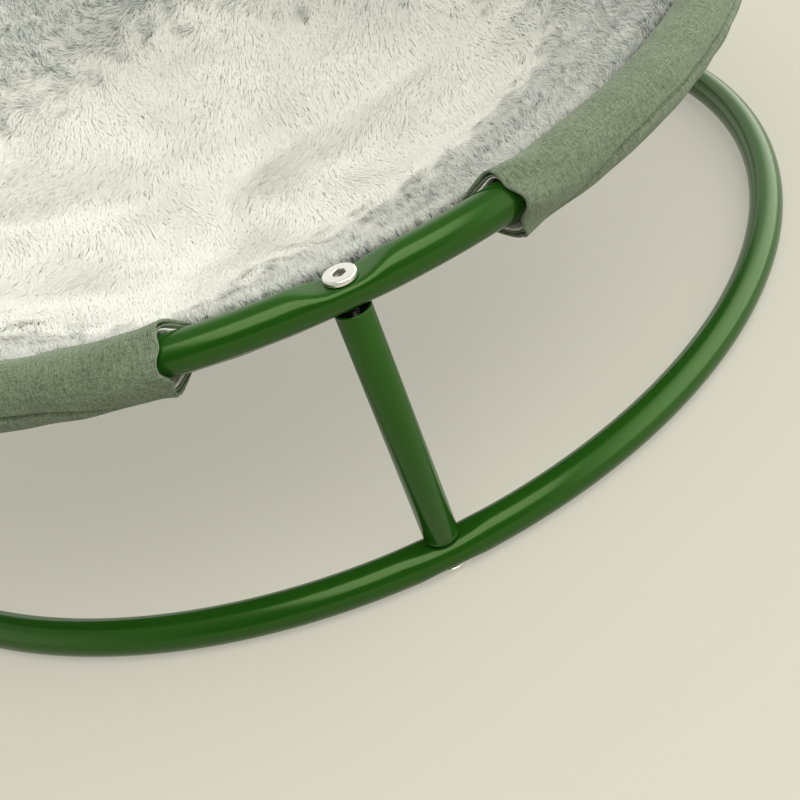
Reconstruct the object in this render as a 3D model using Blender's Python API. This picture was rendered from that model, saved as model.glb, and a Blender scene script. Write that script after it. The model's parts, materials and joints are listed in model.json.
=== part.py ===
"""Round raised pet bed.

Two rings of painted steel tube stand one above the other on three short
tube posts. Each post end holds a threaded insert, and a bolt runs through
each ring into it. The upper ring is three arcs that plug into each other,
so that the sewn sleeves of the fabric sling can be threaded on. The plush
lining lies in the sling.

Lengths are in metres. +Z is up, the floor is at z = 0, the bed's axis is
the Z axis and the front post stands at -Y.
"""

import math

import bmesh
import bpy
import numpy as np

# Rings, both bent from the same tube to the same circle
RING_RADIUS = 0.2567
RING_TUBE_DIAMETER = 0.016
RING_WALL = 0.0012
RING_SPACING = 0.1311

# Pressed seats for the bolt heads, on top of the upper ring and under the lower
UPPER_SEAT_DEPTH = 0.0036
LOWER_SEAT_DEPTH = 0.0032
SEAT_FLAT_LENGTH = 0.0140
SEAT_LENGTH = 0.0400

# Plug ends that join the arcs of the upper ring
PLUG_LENGTH = 0.0200
PLUG_NECK_LENGTH = 0.0040
PLUG_WALL = 0.0011
PLUG_CLEARANCE = 0.0003

# Posts
POST_COUNT = 3
FRONT_POST_DEGREES = -90.0
POST_DIAMETER = 0.0145
POST_WALL = 0.0012
POST_LIP = 0.0007

# Threaded inserts in the post ends
INSERT_LENGTH = 0.0120
INSERT_RECESS = 0.0030
INSERT_CLEARANCE = 0.0003

# Bolts
BOLT_HEAD_DIAMETER = 0.0130
BOLT_HEAD_HEIGHT = 0.0022
BOLT_HEAD_CHAMFER = 0.0004
BOLT_DIAMETER = 0.0060
BOLT_TIP_CHAMFER = 0.0006
BOLT_ENGAGEMENT = 0.0065
BOLT_HOLE_CLEARANCE = 0.0003
SOCKET_ACROSS_CORNERS = 0.0048
SOCKET_DEPTH = 0.0026

# Sleeves round the upper ring
BARE_TUBE_LENGTH = 0.1360
SLEEVE_WALL = 0.0016
SLEEVE_EASE = 0.0008
SLEEVE_SAG = 0.0062
SLEEVE_SLANT = 0.0110

# Sling and lining
SLING_DEPTH = 0.0780
SLING_SKIN = 0.0012
SLING_SWELL_POWER = 2.2
LINING_THICKNESS = 0.0105
LINING_EDGE_THICKNESS = 0.0060
LINING_ROLL_WIDTH = 0.0160
LINING_RISE = 0.0045
EDGE_DROOP = 0.0030
FOLD_HEIGHT = 0.0028
FOLD_COUNT = 8
FOLD_TURN_DEGREES = 20.0
FOLD_PEAK_SHARE = 27 / 4
DENT_HEIGHT = 0.0010
DENT_LENGTH = 0.0780
DENT_COUNT = 3
DENT_LENGTHEN_SHARE = 0.3
DENT_TURN_DEGREES = 25.0
DENT_FADE_POWER = 6.0

# Gap between two pieces that rest on each other
TOUCH_GAP = 0.0003

# Facets
RING_STEPS = 60
TUBE_SIDES = 12
POST_SIDES = 16
BOLT_SIDES = 12
DISH_RADIUS_SHARES = (0.10, 0.20, 0.30, 0.40, 0.50, 0.60, 0.69, 0.78, 0.86)
HOLE_OVERRUN = 0.0040
SHARP_DEGREES = 40.0
END_SHARE = 0.1
ANGLE_DIGITS = 9

POST_NAMES = ("front", "right", "left")
SLEEVE_NAMES = ("front_right", "back", "front_left")

ENAMEL_GREEN = (0.028, 0.108, 0.016)
ZINC_GREY = (0.62, 0.62, 0.60)
LINEN_SAGE = (0.21, 0.29, 0.18)
PLUSH_CREAM = (0.76, 0.76, 0.70)

# Sizes that follow from the ones above
TUBE_RADIUS = RING_TUBE_DIAMETER / 2
LOWER_CENTRE = TUBE_RADIUS
UPPER_CENTRE = LOWER_CENTRE + RING_SPACING
STEP_ANGLE = 2 * math.pi / RING_STEPS
SECTOR = 2 * math.pi / POST_COUNT
BARE_HALF_ANGLE = BARE_TUBE_LENGTH / 2 / RING_RADIUS


def corner_radius(flat_radius: float, sides: int) -> float:
    """Return the corner radius of a polygon whose flats lie at flat_radius."""
    return flat_radius / math.cos(math.pi / sides)


def post_angle(index: int) -> float:
    """Return the angle round the bed at which a post stands."""
    return math.radians(FRONT_POST_DEGREES) + index * SECTOR


def clear_scene() -> None:
    """Remove every object that the new file starts with."""
    for existing in list(bpy.data.objects):
        bpy.data.objects.remove(existing, do_unlink=True)


def make_material(name: str, colour: tuple, roughness: float, metallic: float) -> bpy.types.Material:
    """Make a Principled material in one colour."""
    material = bpy.data.materials.new(name)
    material.use_nodes = True
    shader = material.node_tree.nodes["Principled BSDF"]
    shader.inputs["Base Color"].default_value = (*colour, 1.0)
    shader.inputs["Roughness"].default_value = roughness
    shader.inputs["Metallic"].default_value = metallic
    material.diffuse_color = (*colour, 1.0)
    return material


def add_piece(name: str, points: np.ndarray, faces: list, material: bpy.types.Material) -> bpy.types.Object:
    """Make an object from points and faces, facing outwards and shaded smooth."""
    mesh = bpy.data.meshes.new(name)
    mesh.from_pydata([tuple(point) for point in points], [], faces)
    shell = bmesh.new()
    shell.from_mesh(mesh)
    if shell.calc_volume(signed=True) < 0:
        bmesh.ops.reverse_faces(shell, faces=shell.faces)
    shell.to_mesh(mesh)
    shell.free()
    mesh.shade_smooth()
    mesh.set_sharp_from_angle(angle=math.radians(SHARP_DEGREES))
    mesh.materials.append(material)
    piece = bpy.data.objects.new(name, mesh)
    bpy.context.scene.collection.objects.link(piece)
    return piece


def loop_faces(
    loop_count: int, side_count: int, first: int = 0, closed: bool = False, inward: bool = False
) -> list:
    """Return the triangles that join loops of points one after another.

    Every quad is split along the same diagonal, so that layers that follow one
    surface stay evenly apart.
    """
    faces = []
    for loop in range(loop_count if closed else loop_count - 1):
        here = first + loop * side_count
        there = first + (loop + 1) % loop_count * side_count
        for side in range(side_count):
            following = (side + 1) % side_count
            for face in (
                (here + side, there + side, there + following),
                (here + side, there + following, here + following),
            ):
                faces.append(face[::-1] if inward else face)
    return faces


def revolved_loops(radii: list, heights: list, sides: int) -> np.ndarray:
    """Return one loop of points round the Z axis for each radius and height."""
    turn = 2 * math.pi * (np.arange(sides) + 0.5) / sides
    radius = np.array([np.broadcast_to(r, sides) for r in radii])
    height = np.broadcast_to(np.array(heights)[:, None], radius.shape)
    grid = np.stack([radius * np.cos(turn), radius * np.sin(turn), height], axis=-1)
    return grid.reshape(-1, 3)


def section_angles() -> np.ndarray:
    """Return the angles of a tube section's corners, with a flat at the bottom."""
    return 2 * math.pi * (np.arange(TUBE_SIDES) + 0.5) / TUBE_SIDES


def seat_depth_along(distance: np.ndarray, depth: float) -> np.ndarray:
    """Return how far the tube is pressed in at a distance from its bolt.

    The seat is flat under the bolt head and eases out along half a cosine wave.
    """
    flat = SEAT_FLAT_LENGTH / 2
    ease = SEAT_LENGTH / 2 - flat
    share = np.clip((np.abs(distance) - flat) / ease, 0.0, 1.0)
    return depth * (0.5 + 0.5 * np.cos(math.pi * share))


def distance_to_post(angles: np.ndarray) -> np.ndarray:
    """Return the distance along the ring from each angle to the nearest post."""
    offset = (angles - post_angle(0) + SECTOR / 2) % SECTOR - SECTOR / 2
    return offset * RING_RADIUS


def pressed_section(angles: np.ndarray, flat_radii: np.ndarray, depth: float, side: int) -> tuple:
    """Return how far out and how high each corner of the tube's sections lies.

    A section is a regular polygon. Its corners on the seat's side are pressed
    back to the plane that lies the seat's depth inside the tube.
    """
    corner = corner_radius(flat_radii, TUBE_SIDES)[:, None]
    turn = section_angles()[None, :]
    out = corner * np.cos(turn)
    up = corner * np.sin(turn)
    plane = (flat_radii - seat_depth_along(distance_to_post(angles), depth))[:, None]
    if side > 0:
        up = np.minimum(up, plane)
    else:
        up = np.maximum(up, -plane)
    return out, up


def swept_points(angles: np.ndarray, out: np.ndarray, up: np.ndarray, centre: float) -> np.ndarray:
    """Place sections at angles round the ring, with the tube's centre at one height.

    The angles are one for each section, or one for each corner of each section.
    """
    turn = angles[:, None] if angles.ndim == 1 else angles
    turn, out, up = np.broadcast_arrays(turn, out, up)
    radius = RING_RADIUS + out
    grid = np.stack([radius * np.cos(turn), radius * np.sin(turn), centre + up], axis=-1)
    return grid.reshape(-1, 3)


def seat_angles(index: int) -> list:
    """Return the angles at which a seat's shape needs a section of its own."""
    flat = SEAT_FLAT_LENGTH / 2
    end = SEAT_LENGTH / 2
    distances = (flat, (flat + end) / 2, end)
    return [post_angle(index) + sign * distance / RING_RADIUS for distance in distances for sign in (-1, 1)]


def grid_angles(start: float, end: float, extra: list) -> np.ndarray:
    """Return the ring's regular angles between two ends, with the ends and extra ones."""
    first = post_angle(0)
    low = math.ceil((start - first) / STEP_ANGLE + END_SHARE)
    high = math.floor((end - first) / STEP_ANGLE - END_SHARE)
    regular = [first + step * STEP_ANGLE for step in range(low, high + 1)]
    return np.unique(np.round([start, end, *regular, *extra], ANGLE_DIGITS))


def bolt_hole_cutter(index: int, centre: float, name: str) -> bpy.types.Object:
    """Make the upright cylinder that cuts a bolt's hole through a ring."""
    radius = corner_radius(BOLT_DIAMETER / 2 + BOLT_HOLE_CLEARANCE, BOLT_SIDES)
    reach = TUBE_RADIUS + HOLE_OVERRUN
    bpy.ops.mesh.primitive_cylinder_add(
        vertices=BOLT_SIDES,
        radius=radius,
        depth=2 * reach,
        location=(
            RING_RADIUS * math.cos(post_angle(index)),
            RING_RADIUS * math.sin(post_angle(index)),
            centre,
        ),
        rotation=(0.0, 0.0, post_angle(index) + math.pi / BOLT_SIDES),
    )
    cutter = bpy.context.object
    cutter.name = name
    cutter.hide_render = True
    cutter.display_type = "WIRE"
    return cutter


def cut(piece: bpy.types.Object, cutter: bpy.types.Object) -> None:
    """Cut one object's shape out of another."""
    modifier = piece.modifiers.new(cutter.name, "BOOLEAN")
    modifier.operation = "DIFFERENCE"
    modifier.solver = "EXACT"
    modifier.object = cutter


def make_lower_ring(material: bpy.types.Material) -> None:
    """Make the closed ring on the floor, hollow, with three bolt holes."""
    regular = [post_angle(0) + step * STEP_ANGLE for step in range(RING_STEPS)]
    seats = [angle for index in range(POST_COUNT) for angle in seat_angles(index)]
    low = post_angle(0) - STEP_ANGLE / 2
    turned = [(angle - low) % (2 * math.pi) + low for angle in regular + seats]
    angles = np.unique(np.round(turned, ANGLE_DIGITS))
    shells = []
    faces = []
    for flat_radius, inward in ((TUBE_RADIUS, False), (TUBE_RADIUS - RING_WALL, True)):
        radii = np.full(len(angles), flat_radius)
        out, up = pressed_section(angles, radii, LOWER_SEAT_DEPTH, -1)
        faces += loop_faces(len(angles), TUBE_SIDES, len(shells) * len(angles) * TUBE_SIDES, True, inward)
        shells.append(swept_points(angles, out, up, LOWER_CENTRE))
    ring = add_piece("lower_ring", np.concatenate(shells), faces, material)
    for index, name in enumerate(POST_NAMES):
        cut(ring, bolt_hole_cutter(index, LOWER_CENTRE, f"lower_hole_{name}"))


def make_upper_arc(index: int, material: bpy.types.Material) -> None:
    """Make one arc of the upper ring, with its bolt hole and its plug end.

    The far end narrows to a plug that slides into the next arc's open end.
    """
    half_gap = TOUCH_GAP / 2 / RING_RADIUS
    start = post_angle(index) - SECTOR / 2 + half_gap
    shoulder = post_angle(index) + SECTOR / 2 - half_gap
    neck = shoulder - PLUG_NECK_LENGTH / RING_RADIUS
    tip = shoulder + PLUG_LENGTH / RING_RADIUS
    body = grid_angles(start, neck, seat_angles(index))
    bore = TUBE_RADIUS - RING_WALL
    plug = bore - PLUG_CLEARANCE
    angles = np.concatenate([body, [shoulder, shoulder, tip]])
    outer = np.concatenate([np.full(len(body) + 1, TUBE_RADIUS), [plug, plug]])
    inner = np.concatenate([np.full(len(body), bore), np.full(3, plug - PLUG_WALL)])
    outer_points = swept_points(angles, *pressed_section(angles, outer, UPPER_SEAT_DEPTH, 1), UPPER_CENTRE)
    inner_points = swept_points(angles, *pressed_section(angles, inner, UPPER_SEAT_DEPTH, 1), UPPER_CENTRE)
    points = np.concatenate([outer_points, inner_points])
    arc = add_piece(f"upper_arc_{POST_NAMES[index]}", points, tube_wall_faces(len(angles)), material)
    cut(arc, bolt_hole_cutter(index, UPPER_CENTRE, f"upper_hole_{POST_NAMES[index]}"))


def tube_wall_faces(section_count: int) -> list:
    """Return the faces of an open tube: its outside, its bore and its two end rims."""
    bore = section_count * TUBE_SIDES
    last = (section_count - 1) * TUBE_SIDES
    faces = loop_faces(section_count, TUBE_SIDES)
    faces += loop_faces(section_count, TUBE_SIDES, bore, False, True)
    for side in range(TUBE_SIDES):
        following = (side + 1) % TUBE_SIDES
        faces.append((side, following, bore + following, bore + side))
        faces.append((last + following, last + side, bore + last + side, bore + last + following))
    return faces


def make_post(index: int, material: bpy.types.Material) -> None:
    """Make one upright tube with rounded lips, open at both ends."""
    bottom = LOWER_CENTRE + TUBE_RADIUS + TOUCH_GAP
    top = UPPER_CENTRE - TUBE_RADIUS - TOUCH_GAP
    outside = POST_DIAMETER / 2
    bore = outside - POST_WALL
    radii = [outside - POST_LIP, outside, outside, outside - POST_LIP, bore, bore]
    heights = [bottom, bottom + POST_LIP, top - POST_LIP, top, top, bottom]
    place_round(f"post_{POST_NAMES[index]}", radii, heights, POST_SIDES, index, material)


def place_round(
    name: str, radii: list, heights: list, sides: int, index: int, material: bpy.types.Material
) -> None:
    """Make a ring-shaped turned piece and stand it at a post's place."""
    points = revolved_loops(radii, heights, sides)
    piece = add_piece(name, points, loop_faces(len(radii), sides, 0, True), material)
    piece.location = post_place(index)


def post_place(index: int) -> tuple:
    """Return where a post's axis meets the floor."""
    angle = post_angle(index)
    return (RING_RADIUS * math.cos(angle), RING_RADIUS * math.sin(angle), 0.0)


def make_insert(index: int, top_end: bool, material: bpy.types.Material) -> None:
    """Make the threaded insert pressed into one end of a post."""
    outside = POST_DIAMETER / 2 - POST_WALL - INSERT_CLEARANCE
    bore = corner_radius(BOLT_DIAMETER / 2 + BOLT_HOLE_CLEARANCE, POST_SIDES)
    if top_end:
        high = UPPER_CENTRE - TUBE_RADIUS - TOUCH_GAP - INSERT_RECESS
        low = high - INSERT_LENGTH
    else:
        low = LOWER_CENTRE + TUBE_RADIUS + TOUCH_GAP + INSERT_RECESS
        high = low + INSERT_LENGTH
    end = "top" if top_end else "bottom"
    name = f"insert_{end}_{POST_NAMES[index]}"
    place_round(name, [outside, outside, bore, bore], [low, high, high, low], POST_SIDES, index, material)


def bolt_length() -> float:
    """Return the length under a bolt's head, from the upper seat into the insert."""
    seat = TUBE_RADIUS - UPPER_SEAT_DEPTH + TOUCH_GAP
    return seat + TUBE_RADIUS + TOUCH_GAP + INSERT_RECESS + BOLT_ENGAGEMENT


def bolt_mesh_loops() -> tuple:
    """Return the radii and heights of a bolt's loops, with its head up and its seat at zero.

    The socket's loops follow a hexagon: every other point is a corner and the
    ones between them lie on its flats.
    """
    corner = SOCKET_ACROSS_CORNERS / 2
    flat = corner * math.cos(math.pi / 6)
    hexagon = np.where(np.arange(BOLT_SIDES) % 2 == 0, corner, flat)
    head = BOLT_HEAD_DIAMETER / 2
    shank = BOLT_DIAMETER / 2
    face = BOLT_HEAD_HEIGHT
    tip = -bolt_length()
    radii = [hexagon, hexagon, head - BOLT_HEAD_CHAMFER, head, head]
    radii += [shank, shank, shank - BOLT_TIP_CHAMFER]
    heights = [face - SOCKET_DEPTH, face, face, face - BOLT_HEAD_CHAMFER, 0.0]
    heights += [0.0, tip + BOLT_TIP_CHAMFER, tip]
    return radii, heights


def make_bolt(index: int, top_end: bool, material: bpy.types.Material) -> None:
    """Make one bolt, head outwards, through a ring and into its post's insert."""
    radii, heights = bolt_mesh_loops()
    points = revolved_loops(radii, heights, BOLT_SIDES)
    last = (len(radii) - 1) * BOLT_SIDES
    faces = loop_faces(len(radii), BOLT_SIDES)
    faces.append(tuple(range(BOLT_SIDES)))
    faces.append(tuple(range(last, last + BOLT_SIDES))[::-1])
    if top_end:
        seat = UPPER_CENTRE + TUBE_RADIUS - UPPER_SEAT_DEPTH + TOUCH_GAP
    else:
        seat = LOWER_CENTRE - TUBE_RADIUS + LOWER_SEAT_DEPTH - TOUCH_GAP
    points[:, 2] = points[:, 2] + seat if top_end else seat - points[:, 2]
    end = "top" if top_end else "bottom"
    piece = add_piece(f"bolt_{end}_{POST_NAMES[index]}", points, faces, material)
    piece.location = post_place(index)


def sleeve_sizes() -> tuple:
    """Return a sleeve section's half width and its heights above and below the tube."""
    inside = corner_radius(TUBE_RADIUS, TUBE_SIDES) + SLEEVE_EASE
    return inside, inside, inside + SLEEVE_SAG


def make_sleeve(index: int, material: bpy.types.Material) -> None:
    """Make one fabric sleeve round the upper ring between two posts.

    Its section is round over the tube and hangs slack below it as half an ellipse.
    Its mouths are cut aslant and reach further along the tube on the sling's side.
    """
    start = post_angle(index) + BARE_HALF_ANGLE
    end = post_angle(index + 1) - BARE_HALF_ANGLE
    turn = section_angles()[None, :]
    slant = SLEEVE_SLANT / RING_RADIUS * (0.5 - 0.5 * np.cos(turn))
    loop_count = math.ceil((end - start + 2 * slant.max()) / STEP_ANGLE) + 1
    angles = np.linspace(start - slant, end + slant, loop_count)[:, 0]
    shells = []
    for wall in (SLEEVE_WALL, 0.0):
        across, above, below = (size + wall for size in sleeve_sizes())
        tall = np.where(np.sin(turn) > 0, above, below)
        shells.append(swept_points(angles, across * np.cos(turn), tall * np.sin(turn), UPPER_CENTRE))
    faces = tube_wall_faces(loop_count)
    add_piece(f"sleeve_{SLEEVE_NAMES[index]}", np.concatenate(shells), faces, material)


def dish_radius() -> float:
    """Return the radius at which the sling is sewn to the sleeves' inner side."""
    across = sleeve_sizes()[0] + SLEEVE_WALL
    return (RING_RADIUS - across) * math.cos(STEP_ANGLE / 2) - TOUCH_GAP


def dish_height(share: np.ndarray, angles: np.ndarray) -> np.ndarray:
    """Return the height of the sling's middle surface.

    It hangs as a bowl whose depth falls off with a power of the radius. Its edge
    droops a little at the posts, where no sleeve holds it, and broad folds run
    in from the edge, highest at two thirds of the radius. Soft dents cross it.
    """
    bowl = SLING_DEPTH * (1 - share**SLING_SWELL_POWER)
    toward_post = 0.5 + 0.5 * np.cos(POST_COUNT * (angles - post_angle(0)))
    droop = EDGE_DROOP * toward_post**2 * share**2
    turn = FOLD_COUNT * angles + math.radians(FOLD_TURN_DEGREES)
    folds = FOLD_HEIGHT * np.cos(turn) * FOLD_PEAK_SHARE * share**2 * (1 - share)
    return UPPER_CENTRE - bowl - droop + folds + dish_dents(share, angles)


def dish_dents(share: np.ndarray, angles: np.ndarray) -> np.ndarray:
    """Return how far soft dents lift the sling's middle surface.

    They are straight waves that cross each other, each longer than the one
    before, and they fade out towards the edge.
    """
    waves = np.zeros(np.broadcast(share, angles).shape)
    for index in range(DENT_COUNT):
        heading = math.radians(DENT_TURN_DEGREES) + index * math.pi / DENT_COUNT
        length = DENT_LENGTH * (1 + index * DENT_LENGTHEN_SHARE)
        along = share * dish_radius() * np.cos(angles - heading)
        waves += np.cos(2 * math.pi * along / length + index)
    return DENT_HEIGHT * waves * (1 - share**DENT_FADE_POWER)


def make_dish(name: str, top: np.ndarray, bottom: np.ndarray, material: bpy.types.Material) -> None:
    """Make a bowl-shaped layer from how far its two faces lie above the middle surface.

    The first value of top and bottom is for the centre and the rest for the
    loops at growing radius, the last one on the edge.
    """
    edge = dish_radius()
    radii = edge * np.array([*DISH_RADIUS_SHARES, 1 - LINING_ROLL_WIDTH / edge, 1.0])
    angles = post_angle(0) + STEP_ANGLE * np.arange(RING_STEPS)
    share = (radii / edge)[:, None]
    height = dish_height(share, angles[None, :])
    points = []
    for offset in (top, bottom):
        grid = np.stack(
            [radii[:, None] * np.cos(angles), radii[:, None] * np.sin(angles), height + offset[1:, None]],
            axis=-1,
        )
        points.append(grid.reshape(-1, 3))
    under = len(radii) * RING_STEPS
    faces = loop_faces(len(radii), RING_STEPS)
    faces += loop_faces(len(radii), RING_STEPS, under, False, True)
    centre_height = dish_height(np.zeros(1), np.zeros(1))[0]
    points.append(np.array([[0.0, 0.0, centre_height + top[0]], [0.0, 0.0, centre_height + bottom[0]]]))
    top_centre = 2 * under
    bottom_centre = top_centre + 1
    rim = under - RING_STEPS
    for step in range(RING_STEPS):
        following = (step + 1) % RING_STEPS
        faces.append((rim + step, under + rim + step, under + rim + following, rim + following))
        faces.append((top_centre, step, following))
        faces.append((bottom_centre, under + following, under + step))
    add_piece(name, np.concatenate(points), faces, material)


def make_sling(linen: bpy.types.Material, plush: bpy.types.Material) -> None:
    """Make the linen sling and the plush lining that lies in it.

    The lining is thinner along its edge, where the seam draws it in.
    """
    loops = len(DISH_RADIUS_SHARES) + 3
    lining_top = np.full(loops, LINING_RISE)
    lining_bottom = lining_top - LINING_THICKNESS
    lining_top[-1] -= LINING_THICKNESS - LINING_EDGE_THICKNESS
    make_dish("plush_lining", lining_top, lining_bottom, plush)
    skin_top = lining_bottom - TOUCH_GAP
    make_dish("sling_underside", skin_top, skin_top - SLING_SKIN, linen)


def build() -> None:
    """Build the whole bed."""
    clear_scene()
    enamel = make_material("green_enamel", ENAMEL_GREEN, 0.25, 0.0)
    zinc = make_material("zinc_plate", ZINC_GREY, 0.3, 1.0)
    linen = make_material("sage_linen", LINEN_SAGE, 0.9, 0.0)
    plush = make_material("cream_plush", PLUSH_CREAM, 0.95, 0.0)
    make_lower_ring(enamel)
    for index in range(POST_COUNT):
        make_upper_arc(index, enamel)
        make_post(index, enamel)
        for top_end in (True, False):
            make_insert(index, top_end, zinc)
            make_bolt(index, top_end, zinc)
        make_sleeve(index, linen)
    make_sling(linen, plush)


build()
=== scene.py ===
"""Dresses the round pet bed: enamelled tube frame, sewn linen sling and plush lining.

Every surface is worked out with numpy as a grid of points and put into a mesh as whole arrays.
Lengths are in metres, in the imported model's frame: +Z up, the floor at z = 0, the bed's axis on Z
and the front post at -Y. Section angles run round a ring's tube: 0 points away from the bed's
axis and a quarter turn points up.
"""

import json
import logging
import math
from dataclasses import dataclass
from enum import Enum

import bmesh
import bpy
import numpy as np
from mathutils import Matrix, Vector

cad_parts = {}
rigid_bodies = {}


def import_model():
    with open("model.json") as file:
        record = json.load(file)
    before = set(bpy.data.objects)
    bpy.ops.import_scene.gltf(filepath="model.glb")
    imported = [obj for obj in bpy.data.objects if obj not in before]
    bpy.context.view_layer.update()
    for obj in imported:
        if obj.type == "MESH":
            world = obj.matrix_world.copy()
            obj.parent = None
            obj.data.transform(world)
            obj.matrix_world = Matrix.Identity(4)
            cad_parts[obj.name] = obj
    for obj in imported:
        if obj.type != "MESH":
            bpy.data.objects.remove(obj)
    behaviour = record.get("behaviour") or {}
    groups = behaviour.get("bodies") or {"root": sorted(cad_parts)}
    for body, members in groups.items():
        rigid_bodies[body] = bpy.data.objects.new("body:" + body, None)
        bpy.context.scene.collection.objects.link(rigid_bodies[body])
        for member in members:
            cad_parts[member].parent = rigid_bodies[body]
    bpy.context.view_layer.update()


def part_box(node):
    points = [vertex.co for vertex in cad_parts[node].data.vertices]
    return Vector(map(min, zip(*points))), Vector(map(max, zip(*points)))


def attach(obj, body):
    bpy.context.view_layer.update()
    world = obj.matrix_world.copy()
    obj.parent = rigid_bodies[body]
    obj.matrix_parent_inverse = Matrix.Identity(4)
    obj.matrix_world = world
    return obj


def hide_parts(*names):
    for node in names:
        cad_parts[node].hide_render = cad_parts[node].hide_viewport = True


LOG = logging.getLogger("pet_bed")
MM = 0.001
TURN = 2 * math.pi

MIX_FACTOR, MIX_A, MIX_B, MIX_RESULT = 0, 6, 7, 2


class Corner(Enum):
    """The three places round the bed where a post stands, by turns from +X."""

    FRONT = -90.0
    RIGHT = 30.0
    LEFT = 150.0

    @property
    def angle(self) -> float:
        """Return the angle round the bed, in radians."""
        return math.radians(self.value)

    @property
    def tag(self) -> str:
        """Return the word that ends the names of this corner's pieces."""
        return self.name.lower()


class SleevePlace(Enum):
    """The three sleeves, each named with the corner after which it starts."""

    FRONT_RIGHT = Corner.FRONT
    BACK = Corner.RIGHT
    FRONT_LEFT = Corner.LEFT

    @property
    def tag(self) -> str:
        """Return the word that ends the names of this sleeve's pieces."""
        return self.name.lower()


def hex_colour(text: str) -> tuple[float, float, float, float]:
    """Turn an sRGB hex colour into Blender's linear colour.

    Args:
        text: six hex digits, with or without a leading hash.

    Returns:
        Linear red, green and blue, and an alpha of 1.
    """
    digits = text.lstrip("#")
    shares = [int(digits[i : i + 2], 16) / 255 for i in (0, 2, 4)]
    linear = [c / 12.92 if c <= 0.04045 else ((c + 0.055) / 1.055) ** 2.4 for c in shares]
    return (*linear, 1.0)


def fill_inputs(tree: bpy.types.NodeTree, node: bpy.types.Node, inputs: dict) -> None:
    """Give a node's inputs their values and links.

    Args:
        tree: the node tree that the node is in.
        node: the node.
        inputs: a value, or an output to link from, for each input's name or place.
    """
    for key, value in inputs.items():
        if isinstance(value, bpy.types.NodeSocket):
            tree.links.new(value, node.inputs[key])
        else:
            node.inputs[key].default_value = value


def add_node(
    tree: bpy.types.NodeTree, kind: str, inputs: dict | None = None, **settings: object
) -> bpy.types.Node:
    """Add a node with its settings, values and links.

    Args:
        tree: the node tree to add to.
        kind: the node's Blender type.
        inputs: a value, or an output to link from, for each input's name or place.
        settings: the node's own properties.

    Returns:
        The new node.
    """
    node = tree.nodes.new(kind)
    for key, value in settings.items():
        setattr(node, key, value)
    fill_inputs(tree, node, inputs or {})
    return node


Socket = bpy.types.NodeSocket


class Finish:
    """A material at work, with a short method for each kind of node that the finishes share."""

    def __init__(self, name: str, coordinates: str) -> None:
        """Start the material.

        Args:
            name: the material's name.
            coordinates: the texture coordinates that its patterns follow.
        """
        self.material = bpy.data.materials.new(name)
        self.material.use_nodes = True
        self.tree = self.material.node_tree
        self.shader = self.tree.nodes["Principled BSDF"]
        self.place = self.add("TexCoord").outputs[coordinates]

    def add(self, kind: str, inputs: dict | None = None, **settings: object) -> bpy.types.Node:
        """Add a node, its type given without the words that all shader nodes share."""
        return add_node(self.tree, f"ShaderNode{kind}", inputs, **settings)

    def axis(self, name: str) -> Socket:
        """Return one coordinate of the place."""
        return self.add("SeparateXYZ", {"Vector": self.place}).outputs[name]

    def noise(self, width: float, **more: object) -> Socket:
        """Return noise with features of a width, and with more inputs by their names."""
        inputs = {"Vector": self.place, "Scale": 1 / width, **more}
        return self.add("TexNoise", inputs).outputs["Fac"]

    def math(self, operation: str, *values: Socket | float) -> Socket:
        """Return what one operation makes of its values."""
        return self.add("Math", dict(enumerate(values)), operation=operation).outputs[0]

    def spread(
        self, value: Socket, low: float, high: float, start: float = 0.0, end: float = 1.0
    ) -> Socket:
        """Return a value moved from one range to another.

        Args:
            value: the value.
            low: what it becomes at the start.
            high: what it becomes at the end.
            start: the first range's start.
            end: the first range's end.
        """
        ranges = {"From Min": start, "From Max": end, "To Min": low, "To Max": high}
        return self.add("MapRange", {"Value": value, **ranges}).outputs["Result"]

    def blend(
        self, factor: Socket | float, first: Socket | str, second: Socket | str, kind: str = "MIX"
    ) -> Socket:
        """Return a mix of two colours.

        Args:
            factor: the second colour's share.
            first: a hex colour, or an output.
            second: a hex colour, or an output.
            kind: Blender's name for the way of mixing.
        """
        pair = [hex_colour(c) if isinstance(c, str) else c for c in (first, second)]
        inputs = {MIX_FACTOR: factor, MIX_A: pair[0], MIX_B: pair[1]}
        node = self.add("Mix", inputs, data_type="RGBA", blend_type=kind)
        return node.outputs[MIX_RESULT]

    def bump(self, height: Socket, distance: float, strength: float = 1.0) -> Socket:
        """Return the normals of a surface raised by a distance where the height is 1."""
        inputs = {"Height": height, "Distance": distance, "Strength": strength}
        return self.add("Bump", inputs).outputs["Normal"]

    def done(self, inputs: dict) -> bpy.types.Material:
        """Put values and links into the Principled shader and return the material."""
        fill_inputs(self.tree, self.shader, inputs)
        return self.material


@dataclass(frozen=True)
class PowderEnamel:
    """Powder enamel, sprayed dry on steel tube and baked to a gloss.

    The eye sees a deep green body, soft wide highlights, a faint orange peel that makes them
    waver, and a slightly paler tone where the coat pooled.
    """

    body: str = "#1b480c"
    deep: str = "#17420a"
    gloss: str = "#d9ffb4"
    smoothest: float = 0.16
    roughest: float = 0.24
    index: float = 1.5
    peel_width: float = 2.4 * MM
    peel_height: float = 0.008 * MM
    cloud_width: float = 45 * MM

    def make(self) -> bpy.types.Material:
        """Return the enamel's material."""
        finish = Finish("green_powder_enamel", "Object")
        clouds = finish.noise(self.cloud_width)
        return finish.done(
            {
                "Base Color": finish.blend(clouds, self.deep, self.body),
                "Normal": finish.bump(finish.noise(self.peel_width), self.peel_height),
                "Roughness": finish.spread(clouds, self.smoothest, self.roughest),
                "IOR": self.index,
                "Specular Tint": hex_colour(self.gloss),
            }
        )


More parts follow.
